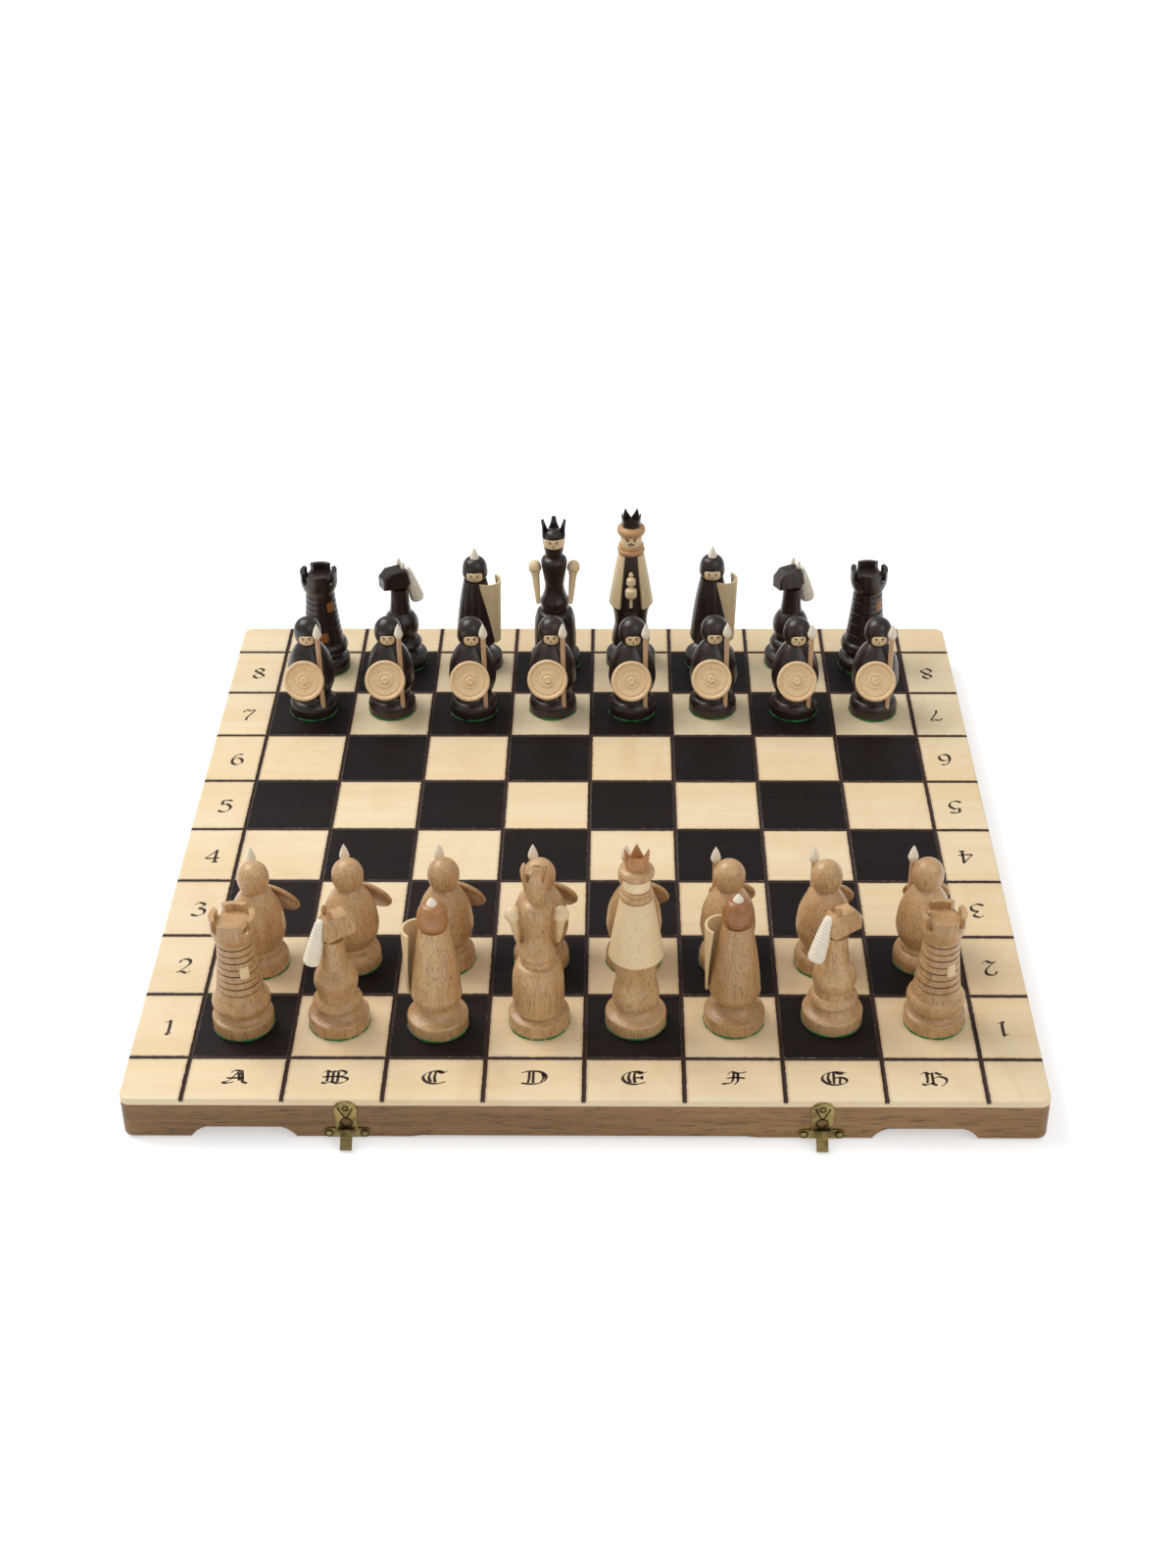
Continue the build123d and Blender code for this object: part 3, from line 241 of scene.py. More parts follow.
# Finishes
class Wire:
    """A value among nodes: Python's arithmetic on it adds the Math nodes that work it out."""

    def __init__(self, nodes, socket):
        self.nodes, self.socket = nodes, socket

    def beside(self, output):
        """Another output of the node that this value comes from."""
        return Wire(self.nodes, self.socket.node.outputs[output])

    def maths(self, operation, *values):
        return self.nodes.add("ShaderNodeMath", {"operation": operation}, values)

    def __add__(self, other):
        return self.maths("ADD", self, other)

    def __sub__(self, other):
        return self.maths("SUBTRACT", self, other)

    def __rsub__(self, other):
        return self.maths("SUBTRACT", other, self)

    def __mul__(self, other):
        return self.maths("MULTIPLY", self, other)

    def __truediv__(self, other):
        return self.maths("DIVIDE", self, other)

    def __rtruediv__(self, other):
        return self.maths("DIVIDE", other, self)

    __radd__ = __add__
    __rmul__ = __mul__

    def least(self, other):
        return self.maths("MINIMUM", self, other)

    def most(self, other):
        return self.maths("MAXIMUM", self, other)

    def zigzag(self, height):
        """Straight up from 0 to height and down again, over and over."""
        return self.maths("PINGPONG", self, height)

    def step(self, low, high):
        """0 below low and 1 above high, with a smooth rise between; high may be the lower one."""
        return self.nodes.add("ShaderNodeMapRange", {"interpolation_type": "SMOOTHSTEP"},
                              [self, low, high, 0.0, 1.0])


def paint(red, green, blue):
    """A colour written as 0 to 255 on a screen, as the linear values that shaders take."""
    share = np.array([red, green, blue]) / 255
    return (*np.where(share <= 0.04045, share / 12.92, ((share + 0.055) / 1.055) ** 2.4), 1.0)


class Nodes:
    """A tree of nodes, put together one node at a time."""

    def __init__(self, tree):
        self.tree = tree

    def add(self, kind, settings=None, values=(), output=0):
        """A node of a kind: its settings come first, then its sockets get their numbers or links."""
        node = self.tree.nodes.new(kind)
        for key, value in (settings or {}).items():
            setattr(node, key, value)
        for key, value in values.items() if isinstance(values, dict) else enumerate(values):
            if isinstance(value, Wire):
                self.tree.links.new(value.socket, node.inputs[key])
            else:
                node.inputs[key].default_value = value
        return Wire(self, node.outputs[output])

    def feed(self, node, **wires):
        """Links values to a node's sockets, named with underscores for spaces."""
        for name, wire in wires.items():
            self.tree.links.new(wire.socket, node.inputs[name.replace("_", " ")])


class Finish(Nodes):
    """A procedural finish, put together round one Principled shader whose plain sockets are the constants."""

    def __init__(self, name, **constants):
        self.material = bpy.data.materials.new(name)
        self.material.use_nodes = True
        super().__init__(self.material.node_tree)
        self.shader = self.tree.nodes["Principled BSDF"]
        for socket, value in constants.items():
            self.shader.inputs[socket.replace("_", " ")].default_value = value

    def place(self, scale=(1, 1, 1), angles=(0, 0, 0)):
        """The point on the piece, in metres, turned and scaled."""
        point = self.add("ShaderNodeTexCoord", output="Object")
        return self.add("ShaderNodeMapping", None, {"Vector": point, "Scale": scale, "Rotation": angles})

    def parts(self, vector):
        """A vector's three numbers."""
        split = self.add("ShaderNodeSeparateXYZ", None, [vector])
        return [split.beside(axis) for axis in "XYZ"]

    def noise(self, vector, scale=1.0, detail=3.0, roughness=0.55, distortion=0.0):
        return self.add("ShaderNodeTexNoise", None, {"Vector": vector, "Scale": scale, "Detail": detail,
                                                     "Roughness": roughness, "Distortion": distortion})

    def mix(self, share, low, high):
        """The colour low where share is 0, and high where it is 1."""
        return self.add("ShaderNodeMix", {"data_type": "RGBA"}, {0: share, 6: low, 7: high}, output=2)

    def finish(self, colour, roughness, bumps, strength, distance=0.2 * MM):
        """The material with its colour, its roughness, and bumps that rise by distance at full strength."""
        bump = self.add("ShaderNodeBump", None, {"Height": bumps, "Strength": strength, "Distance": distance})
        self.feed(self.shader, Base_Color=colour, Roughness=roughness, Normal=bump)
        return self.material


def grain(finish, scale, light, dark, deep, contrast=1.0, pored=0.7):
    """Wood as (colour, fine streaks, pores), with scale squeezing the pattern along each axis.

    The colour goes from light to dark with 0.6 of broad streaks and 0.4 of fine ones, and takes the share
    pored of deep in short pores; contrast multiplies both.
    """
    point = finish.place(scale)
    broad = finish.noise(point, 0.22, 2.0, 0.5, 0.6)
    fine = finish.noise(point, 2.2, 4.0, 0.6, 0.3)
    pores = finish.noise(point, 13.0, 2.0, 0.6).step(0.54, 0.66)
    tone = (broad.step(0.35, 0.68) * 0.6 + fine.step(0.3, 0.75) * 0.4) * contrast
    colour = finish.mix(tone, paint(*light), paint(*dark))
    return finish.mix(pores * pored * contrast, colour, paint(*deep)), fine, pores


def plain_wood(name, scale, light, dark, deep, rough=0.42, contrast=1.0, **constants):
    """One wood all over: its roughness is about rough and follows the fine streaks; pores are sunk."""
    wood = Finish(name, **constants)
    colour, fine, pores = grain(wood, scale, light, dark, deep, contrast)
    return wood.finish(colour, fine * 0.16 + (rough - 0.08), fine * 0.4 - pores, 0.25)


def birch_top():
    """Pale veneer, scorched dark along the grooves between the squares.

    A point's gap is its distance from the nearest whole number of squares in x or in y, with a wobble of
    0.45 either way; 50 squares more keep the count above 0. The burn fades out between gaps of 1.05 and
    1.5, and a haze between 1.1 and 3.2, and both fade out below the top face.
    """
    wood = Finish("pale_birch")
    colour, fine, pores = grain(wood, (9, 90, 90), (247, 227, 190), (236, 208, 162), (208, 172, 122),
                                contrast=0.9, pored=0.12)
    figure = wood.noise(wood.place((26, 11, 40), angles=(0, 0, 0.5)), 1.0, 2.0, 0.5, 1.4)
    colour = wood.mix(figure.step(0.5, 0.75) * 0.25, colour, paint(222, 188, 138))
    x, y, z = wood.parts(wood.place())
    wobble = (wood.noise(wood.place((300, 300, 300)), 1.0, 2.0) - 0.5) * (0.9 * MM)
    side = SQUARE * MM
    gaps = [(axis / side + 50.0).zigzag(0.5) * side + wobble for axis in (x, y)]
    gap = gaps[0].least(gaps[1])
    burn = gap.step(1.5 * MM, 1.05 * MM) * z.step((TOP_Z - 2.5) * MM, (TOP_Z - 0.8) * MM)
    haze = gap.step(3.2 * MM, 1.1 * MM) * z.step((TOP_Z - 1.2) * MM, (TOP_Z - 0.2) * MM) * 0.35
    colour = wood.mix(haze, colour, paint(150, 100, 60))
    char = wood.mix(wood.noise(wood.place((500, 500, 500)), 1.0, 2.0), paint(30, 18, 14), paint(66, 40, 28))
    colour = wood.mix(burn, colour, char)
    return wood.finish(colour, fine * 0.14 + 0.3 + burn * 0.25, fine * 0.4 - pores, 0.12)


def stained_squares():
    """Dark stained veneer with a satin finish and open grain, warmer in patches."""
    wood = Finish("dark_stain", Specular_IOR_Level=0.18)
    colour, fine, pores = grain(wood, (9, 110, 110), (32, 23, 21), (20, 14, 13), (10, 7, 6))
    warm = wood.noise(wood.place((14, 60, 60)), 1.0, 3.0).step(0.58, 0.8) * 0.35
    colour = wood.mix(warm, colour, paint(48, 28, 22))
    return wood.finish(colour, fine * 0.2 + 0.4, fine * 0.5 - pores, 0.3)


def brass(name, light, dark, tarnish, rough):
    """Stamped brass that goes from light to dark, and rougher, in patches of dull tarnish."""
    metal = Finish(name, Metallic=1.0)
    patches = metal.noise(metal.place((140, 140, 140)), 1.0, 5.0, 0.65)
    fine = metal.noise(metal.place((900, 900, 900)), 1.0, 3.0)
    dull = patches.step(0.42, 0.66) * tarnish
    colour = metal.mix(dull, paint(*light), paint(*dark))
    return metal.finish(colour, fine * 0.18 + rough + dull * 0.18, fine, 0.2, 0.1 * MM)


def felt_cloth():
    """Green felt: short fibres as fine noise over broad patches, with a soft sheen."""
    cloth = Finish("green_felt", Sheen_Weight=0.3)
    fibres = cloth.noise(cloth.place((1800, 1800, 1800)), 1.0, 4.0, 0.7)
    patches = cloth.noise(cloth.place((220, 220, 220)), 1.0, 3.0)
    colour = cloth.mix(fibres * 0.6 + patches * 0.4, paint(2, 88, 36), paint(22, 146, 70))
    return cloth.finish(colour, fibres * 0.1 + 0.85, fibres, 0.6, 0.3 * MM)


# The men's materials. A wood has a light, a dark and a deep colour, a roughness, and a contrast where it is
# weaker. UPRIGHT runs the grain up the man.
UPRIGHT = (150, 150, 11)
beech = plain_wood("beech_men", UPRIGHT, (218, 178, 128), (180, 136, 88), (110, 76, 46), 0.34,
                   Coat_Weight=0.25, Coat_Roughness=0.2)
pear = plain_wood("pear_men", UPRIGHT, (186, 132, 80), (152, 100, 54), (108, 68, 36), 0.28,
                  Coat_Weight=0.1, Coat_Roughness=0.2)
rosy = plain_wood("rosy_carving", UPRIGHT, (204, 154, 106), (178, 122, 76), (136, 88, 52), 0.5)
ebony = plain_wood("stained_men", UPRIGHT, (50, 34, 29), (31, 20, 17), (16, 10, 9), 0.3,
                   Coat_Weight=0.2, Coat_Roughness=0.25)
ivory = plain_wood("ivory_wood", UPRIGHT, (242, 218, 174), (230, 202, 156), (202, 170, 124), 0.4, 0.7)
bleached = plain_wood("bleached_wood", UPRIGHT, (252, 242, 222), (242, 230, 206), (216, 200, 172), 0.45, 0.6)
honey = plain_wood("honey_wood", UPRIGHT, (212, 168, 120), (194, 146, 96), (160, 112, 66), 0.38, 0.8)
umber = plain_wood("umber_wood", UPRIGHT, (168, 104, 54), (138, 80, 38), (96, 54, 26), 0.4, 0.8)
maple = plain_wood("maple_shields", UPRIGHT, (246, 214, 168), (230, 192, 144), (196, 154, 108), 0.4, 0.8)
skin = plain_wood("face_wood", UPRIGHT, (254, 230, 190), (246, 214, 168), (222, 182, 132), 0.45, 0.6)
dowel = plain_wood("dowel_wood", UPRIGHT, (222, 186, 150), (206, 164, 126), (180, 134, 100), 0.5, 0.8)
scorch = plain_wood("scorched_line", (200, 200, 200), (58, 34, 24), (38, 22, 16), (24, 14, 12), 0.6)
felt = felt_cloth()

# The board's materials: the grain of the long rails runs along X, and that of the side rails along Y
rail_x = plain_wood("rail_wood_long", (7, 130, 130), (162, 122, 74), (118, 84, 46), (48, 30, 16), 0.48)
rail_y = plain_wood("rail_wood_side", (130, 7, 130), (162, 122, 74), (118, 84, 46), (48, 30, 16), 0.48)
lining = plain_wood("lining_board", (60, 60, 60), (186, 154, 116), (168, 134, 96), (140, 106, 74), 0.7)
antique = brass("antique_brass", (150, 132, 84), (84, 70, 44), 0.9, 0.3)
pressed_brass = brass("pressed_brass", (74, 62, 38), (40, 32, 20), 0.9, 0.45)
bright = brass("bright_brass", (212, 178, 104), (160, 128, 70), 0.5, 0.22)
top_wood = birch_top()
square_wood = stained_squares()

NODE_FINISHES = (
    (("near_top_panel", "far_top_panel"), top_wood),
    (("near_dark_squares", "far_dark_squares"), square_wood),
    (("near_front_rail", "far_back_rail", "near_hinge_rail", "far_hinge_rail"), rail_x),
    (("near_left_rail", "near_right_rail", "far_left_rail", "far_right_rail"), rail_y),
    (("near_lining", "far_lining"), lining),
    (("hinge_leaves_near", "hinge_leaves_far", "hinge_pins", "hinge_screws_near", "hinge_screws_far"),
     bright),
    (("left_latch_plate", "right_latch_plate", "left_latch_hook", "right_latch_hook", "latch_pins",
      "latch_nails", "catch_plates", "catch_nails"), antique),
)
for names, material in NODE_FINISHES:
    for name in names:
        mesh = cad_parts[name].data
        mesh.materials.clear()
        mesh.materials.append(material)


# New pieces
def piece(name, shape, material, body):
    """Puts a shape into Blender as one closed piece that rides on a body."""
    points, quads = shape
    mesh = bpy.data.meshes.new(name)
    mesh.vertices.add(len(points))
    mesh.vertices.foreach_set("co", (points * MM).ravel())
    mesh.loops.add(quads.size)
    mesh.loops.foreach_set("vertex_index", quads.ravel())
    mesh.polygons.add(len(quads))
    mesh.polygons.foreach_set("loop_start", np.arange(len(quads)) * 4)
    mesh.update(calc_edges=True)
    solid = bmesh.new()
    solid.from_mesh(mesh)
    bmesh.ops.remove_doubles(solid, verts=solid.verts, dist=0.002 * MM)
    bmesh.ops.recalc_face_normals(solid, faces=solid.faces)
    solid.to_mesh(mesh)
    solid.free()
    mesh.polygons.foreach_set("use_smooth", np.ones(len(mesh.polygons), bool))
    mesh.set_sharp_from_angle(angle=radians(SHARP_ANGLE))
    mesh.materials.append(material)
    made = bpy.data.objects.new(name, mesh)
    bpy.context.scene.collection.objects.link(made)
    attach(made, body)
    return made


# Parts that several men have
def foot(radius, stem, rise=4.8, bow=-0.9):
    """Steps of a foot: upright wall, rounded rim, and a top that runs in to the stem."""
    return [(radius, 6.8, 0), (radius - 1.3, 1.3, 0.35), (stem, rise, bow)]


def felt_under(radius):
    """A felt disc: its rim is the radius and 0.12 more, with three small waves going round it."""
    angle = np.arange(SIDES * 2) / (SIDES * 2) * 2 * pi
    rim = radius + 0.12 + 0.16 * np.sin(5 * angle + 1) + 0.12 * np.sin(13 * angle) + 0.08 * np.sin(29 * angle)
    profile = np.array([(0, 0), (0.98, 0), (1, 0.3), (1, 1.3), (0.98, 1.5), (0.9, 1.5), (0, 1.25)])
    return surface(about_z(profile[:, :1] * rim, angle, profile[:, 1:]), ring=True)


def degrees_across(width, radius_at, z):
    """The angle that a width takes up round a turned surface at a height."""
    return np.degrees(width / np.interp(z, radius_at[:, 1], radius_at[:, 0]))


def face_marks(radius_at, z, spread, scale, lift, beard=False):
    """A toy face in dark strokes on a turned head: brows, eyes, a nose, a mouth, and for some a beard.

    Each is an elliptical patch. side times spread is its way to the man's right of the nose, and scale
    multiplies the rest: the way up from z, the half width and the half height.
    """
    def mark(side, up, half_width, half_height, tilt=0):
        facing = FRONT - degrees_across(side * spread, radius_at, z)
        return pillow_on(radius_at, facing, z + up * scale, half_width * scale, half_height * scale, lift,
                         power=2.0, tilt=tilt)

    marks = [mark(0, -0.5, 0.3, 0.6), mark(0, -1.9, 0.9, 0.34)]
    for side in (-1, 1):
        marks += [mark(side, 1.6, 1.3, 0.42, side * 20), mark(side, 0.5, 0.5, 0.5)]
        if beard:
            marks.append(mark(side * 0.5, -1.2, 1.2, 0.4, side * -26))
    return joined(*marks)


def pointed_crown(radius, flare, z, rise, points, low, thick):
    """A cup's wall whose top edge swings between low and full height, points times round it.

    For a zigzag swing from 0 to 1 the height is rise * (low + (1 - low) * swing ^ 1.15). The radius grows
    by flare * (share of rise) ^ 1.3, and the wall thins from 1.15 to 0.55 of thick on the way up.
    """
    angle = np.linspace(0, 2 * pi, 20 * points + 1)
    share = np.linspace(0, 1, 9)[:, None]
    swing = 1 - np.abs(((angle - pi / 2) * points / (2 * pi) + 0.5) % 1 - 0.5) * 2
    up = share * rise * (low + (1 - low) * swing ** 1.15)
    wide = radius + flare * (up / rise) ** 1.3
    return bent_wall(wide, wide - thick * (1.15 - 0.6 * share), angle, z + up)


# Men: each function gives a list of (part, shape, material)
def king(white, wood):
    """A robed king with a split cape, a sceptre, a ringed collar, a hat band and a five-pointed crown.

    The cape goes round the robe, from 32 degrees at one side of the front to 32 degrees at the other. It is
    1.5 thick, and its outside flares by 0.5 * (1 - share of the height) ^ 2.
    """
    hip, neck = 13.4, 7.2
    hip_z, robe_top, collar_top, face_top, band_top = 46.9, 86.9, 93.5, 100.5, 106.9
    robe_steps, face_steps = [(neck, 40, 0.4)], [(neck, 7, 0.25)]
    lap = 0.1   # how far the collar and the crown reach down past the joint under them
    body = turned(OFFICER_FOOT, FELT_TOP, [
        *foot(OFFICER_FOOT, 9.6), (13.1, 4.2, 0.8), (11.1, 13, 0.5), (hip, 16, -0.6), *robe_steps])
    collar = turned(7.4, robe_top - lap, [(8.8, 0.5, 0), (8.8, 3.3, 0.6), (8.1, 0.3, 0), (8.1, 2.4, 0.5)])
    hat_band = turned(7.6, face_top, [(8.9, 0.9, 0), (8.9, 4.6, 0.8), (6.6, 0.9, 0)])
    head = turned(neck, collar_top, face_steps)
    face = face_marks(outline(neck, collar_top, face_steps), z=97.4, spread=2.6, scale=1.25, lift=0.16,
                      beard=True)

    front, half_slit = radians(FRONT), radians(32)
    angle = np.linspace(front + half_slit, front + 2 * pi - half_slit, 61)
    share = np.linspace(0, 1, 25)[:, None]
    hem, cape_top = hip_z + 2, robe_top - 0.2
    z = hem + (cape_top - hem) * share
    robe = outline(hip, hip_z, robe_steps)
    inner = np.interp(z, robe[:, 1], robe[:, 0]) + 0.05
    cape = bent_wall(inner + 1.5 + 0.5 * (1 - share) ** 2, inner, angle, z)

    sceptre = turned(1.1, 0, [(1.1, 6.2, 0), (3.9, 4.2, 1.2), (1.4, 4.0, 1.2), (1.4, 1.2, 0), (3.1, 3.2, 0.9),
                              (1.2, 3.0, 0.9), (1.2, 0.8, 0), (1.5, 1.2, 0.3), (0, 1.8, "dome")], sides=28)
    crown = joined(pointed_crown(6.2, 0.9, band_top - lap, rise=10, points=5, low=0.32, thick=1.5),
                   turned(5.9, band_top - lap, [(5.4, 1.6, 0), (0, 1.2, "dome")], sides=40))
    return [
        ("body", body, wood),
        ("collar", joined(collar, hat_band), beech if white else honey),
        ("head", head, skin),
        ("face", face, scorch),
        ("cape", cape, ivory),
        ("sceptre", placed(sceptre, (0, 13.9, 51), turn("X", 8.8)), ivory),
        ("crown", crown, rosy if white else ebony),
    ]


def queen(white, wood):
    """A queen in a long skirt, with two turned arms and a crown of three petals round a dome.

    A petal's half width is 6.4 * (0.24 + 0.56 * (1 - share of the height) ^ 1.7). Its radius is the
    temple's, with lean * share and bulge * sin(pi * share) added.
    """
    neck, temple = (4.4 if white else 5.6), 7.9
    shoulder_z, head_z, head_top, rise = 78.82, 84.22, 100.22, 10.0
    head_steps = [(temple, 16, 0.3)]
    body = turned(OFFICER_FOOT, FELT_TOP, [
        *foot(OFFICER_FOOT, 11.8, 1.92, -0.2), (14.2, 1.6, 0.5), (14.2, 19, 0.2), (12.6, 9.4, 0.4),
        (9.4, 2.4, 0.6), (9.4, 3.6, 0.3), (9.8, 4.4, 0.5), (6.6, 12, -0.9), (8.8, 15.6, 0.1),
        (neck, 5.4, 1.4), *head_steps, (6.3, 0, 0), (0, 4.5, "dome")])

    lean, bulge = (-1.1, 0.9) if white else (0.8, -0.5)
    share = np.linspace(0, 1, 17)[:, None]
    across = np.linspace(-1, 1, 17) * 6.4 * (0.24 + 0.56 * (1 - share) ** 1.7)
    wide = temple + lean * share + bulge * np.sin(share * pi)
    z = head_top - 0.2 + rise * share
    petals = [bent_wall(wide, wide - 1.5 + 0.5 * share, radians(FRONT + side) + across / wide, z)
              for side in (180, 110, -110)]
    bow_up, bow_height = (0.6, 2.4) if white else (1.6, 1.5)
    bow = pillow_on(outline(temple, head_top - 1, [(7.3, 5, 0)]), FRONT, head_top + bow_up, 4.4, bow_height,
                    lift=0.3, power=2.0, depth=1.6)

    shoulder = 4.3
    arm = turned(1.4, -24.7, [(2.6, 20.4, 0.15), (3.1, 0.6, 0.3), (2.5, 0.9, 0.3), (shoulder, 4.3, 0.9),
                              (0, 4.3, "dome")], sides=36)
    arms = [placed(arm, (hand * 13.1, 0, shoulder_z - shoulder), turn("X", 18) @ turn("Y", hand * 4.9))
            for hand in (-1, 1)]
    pieces = [
        ("body", body, wood),
        ("arms", joined(*arms), ivory),
        ("crown", joined(*petals, bow), wood),
    ]
    if not white:
        head = outline(neck, head_z, head_steps)
        pieces.append(("face_panel", pillow_on(head, FRONT, 96.2, 8.6, 3.7, lift=0.2, power=6.0), skin))
        pieces.append(("face", face_marks(head, z=96.3, spread=2.3, scale=1.1, lift=0.42), scorch))
    return pieces


def bishop(white, wood):
    """A bishop in a long robe, with a round head, a spike and a curved shield at the left.

    The shield is what a slanting plane cuts off a tube. The tube's radius grows from 0.85 of bend to bend
    on the way up, and the plane's distance from its middle falls evenly from 0.92 of the lower radius to 0,
    so that the shield widens to a half round. A row's half angle is the arc cosine of that distance over
    that radius.
    """
    neck, head_steps = 6.6, [(8.6, 7.11, 1.0), (3.15, 8.49, "dome")]
    body = turned(OFFICER_FOOT, FELT_TOP, [
        *foot(OFFICER_FOOT, 8.8), (8.8, 3.3, 0), (14, 4.95, 1.1), (14, 2.75, 0.2), (7.8, 43.2, 0.9)])
    head = turned(neck, 67.7, [(neck, 0.4, 0), *head_steps])
    spike = turned(3.15, 83.5, [(0, 4.4 if white else 8.3, 0.35)], sides=36)

    bottom, top, bend, thick = 20.5, 67.0, 9.4, 1.5
    share = np.linspace(0, 1, 33)[:, None]
    radius = bend * (0.85 + 0.15 * share)
    plane = 0.92 * bend * 0.85 * (1 - share)
    around = pi + np.linspace(-1, 1, 41) * np.arccos(plane / radius)
    shield = bent_wall(radius, radius - thick, around, bottom + (top - bottom) * share)
    pieces = [
        ("body", body, wood),
        ("head", head, pear if white else ebony),
        ("spike", spike, bleached),
        ("shield", placed(shield, (-8.4, 0, 0), turn("Z", -35)), ivory),
    ]
    if not white:
        head_path = outline(neck, 68.1, head_steps)
        panel = pillow_on(head_path, FRONT, 72.3, 5.9, 3.8, lift=0.18, power=5.0)
        pieces.append(("face_panel", panel, skin))
        pieces.append(("face", face_marks(head_path, z=72.5, spread=2.2, scale=1.0, lift=0.4), scorch))
    return pieces


def knight(white, wood):
    """A knight: turned body, block-like horse's head turned half forward, two ears and a ridged mane.

    The mane is turned from an outline, with its radius multiplied by
    1 - 0.055 * (1 + cos(2 * pi * z / ridge)), and nine ripples go round it.
    """
    neck_top, poll = 59.3, 74.9
    body = turned(OFFICER_FOOT, FELT_TOP, [
        *foot(OFFICER_FOOT, 10.7), (13.9, 3.15, 0.6), (10.7, 3.85, 0.5), (10.7, 3.6, 0.2), (7.4, 17, 3.0),
        (6.1, 18, -0.3)])
    cheek = 5.5
    side_view = [(-7.2, 63.1), (-4.3, neck_top), (13, 62.1), (13, 69.9), (8.1, poll), (-3.6, poll),
                 (-5.8, 71.8)]
    head = prism(side_view, -cheek, cheek, 1.2)
    ear = turned(0.8, 0, [(1.7, 2.3, 0.1), (0, 4.2, 0.3)], sides=24)
    ears = [placed(ear, (-2.2, side * 3.3, poll - 0.6)) for side in (-1, 1)]

    length, ridge = 28, 1.9
    path = outline(3.9, -length, [(5.0, 2, 0.3), (2.9, 23, 0.3), (0, 3, 0.8)])
    z = np.linspace(-length, 0, 113)
    radius = np.interp(z, path[:, 1], path[:, 0]) * (1 - 0.055 * (1 + np.cos(z * 2 * pi / ridge)))
    mane_path = np.concatenate([[[0, -length]], np.stack([radius, z], axis=-1), [[0, 0]]])
    mane = placed(lathe(mane_path, sides=40, ripple=0.03, ripples=9), (-5.8, 0, poll - 1), turn("Y", 16))
    half_forward = turn("Z", 30)
    return [
        ("body", body, wood),
        ("head", placed(head, spin=half_forward), wood),
        ("ears", placed(joined(*ears), spin=half_forward), rosy if white else bleached),
        ("mane", placed(mane, spin=half_forward), bleached),
    ]


def rook(white, wood):
    """A tower with scorched rings, pale windows, a flared parapet with four gaps and a sunken floor.

    The gaps have round bottoms. At a depth below the floor, half a gap is the square root of gap ^ 2 -
    depth ^ 2, and above the floor it is gap. A merlon fills its quarter but for half a gap at each side,
    which is the arc sine of it over the radius as an angle.
    """
    tower_z, tower_rise, tower_top, top = 26.38, 33.6, 59.98, 75.78
    floor_z, gap, wall_out, wall_in = top - 4.4, 2.5, 12.6, 9.6
    low_z = floor_z - gap
    side = outline(13.1, tower_z, [(9.8, tower_rise, -0.3)])
    lower = outline(OFFICER_FOOT, FELT_TOP, [
        *foot(OFFICER_FOOT, 13.1, 2.88, -0.3), (16.2, 5.2, 0.6), (13.9, 5.2, 0.9), (13.1, 4.2, 0.1)])
    upper = outline(9.8, tower_top, [(wall_out, 8.6, 0.6), (wall_out, low_z - tower_top - 8.6, 0),
                                     (wall_in, 0, 0), (wall_in, gap, 0), (0, 0, 0)])

    count, groove, half_ring = 8, 0.45, 0.42
    levels = tower_z + (np.arange(count) + 0.5) * (tower_rise / count)
    cuts = np.concatenate([
        np.stack([np.interp(levels + off, side[:, 1], side[:, 0]) - deep, levels + off], axis=-1)
        for off, deep in ((-0.55, 0), (-0.3, groove), (0.3, groove), (0.55, 0))])
    wall = np.concatenate([side, cuts])
    wall = wall[np.argsort(wall[:, 1])]
    path = np.concatenate([[[0, FELT_TOP]], eased(lower)[:-1], wall[1:-1], eased(upper)])
    rings = []
    for surface_radius, z in zip(np.interp(levels, side[:, 1], side[:, 0]), levels):
        out, back = surface_radius - 0.3, surface_radius - 1.42
        rings.append(turned_ring(out, z - half_ring, [(out, 2 * half_ring, 0), (back, 0, 0),
                                                      (back, -2 * half_ring, 0), (out, 0, 0)]))

    z = low_z + (top - low_z) * np.linspace(0, 1, 13)[:, None]
    half_gap = np.sqrt(np.clip(gap ** 2 - np.clip(floor_z - z, 0, gap) ** 2, 0, None))
    across = np.linspace(-1, 1, 19)
    merlons = [shell(*(about_z(r, pi / 2 * quarter + across * (pi / 4 - np.arcsin(half_gap / r)), z)
                       for r in (wall_out, wall_in)))
               for quarter in range(4)]
    window_places = ((-60.0, 43.0), (120.0, 43.0)) if white else ((102.0, 29.0), (135.0, 51.0))
    windows = [pillow_on(side, facing, up, 2.7, 3.6, lift=0.22, power=8.0) for facing, up in window_places]
    return [
        ("body", lathe(path), wood),
        ("parapet", joined(*merlons), wood),
        ("rings", joined(*rings), scorch),
        ("windows", joined(*windows), ivory if white else umber),
    ]


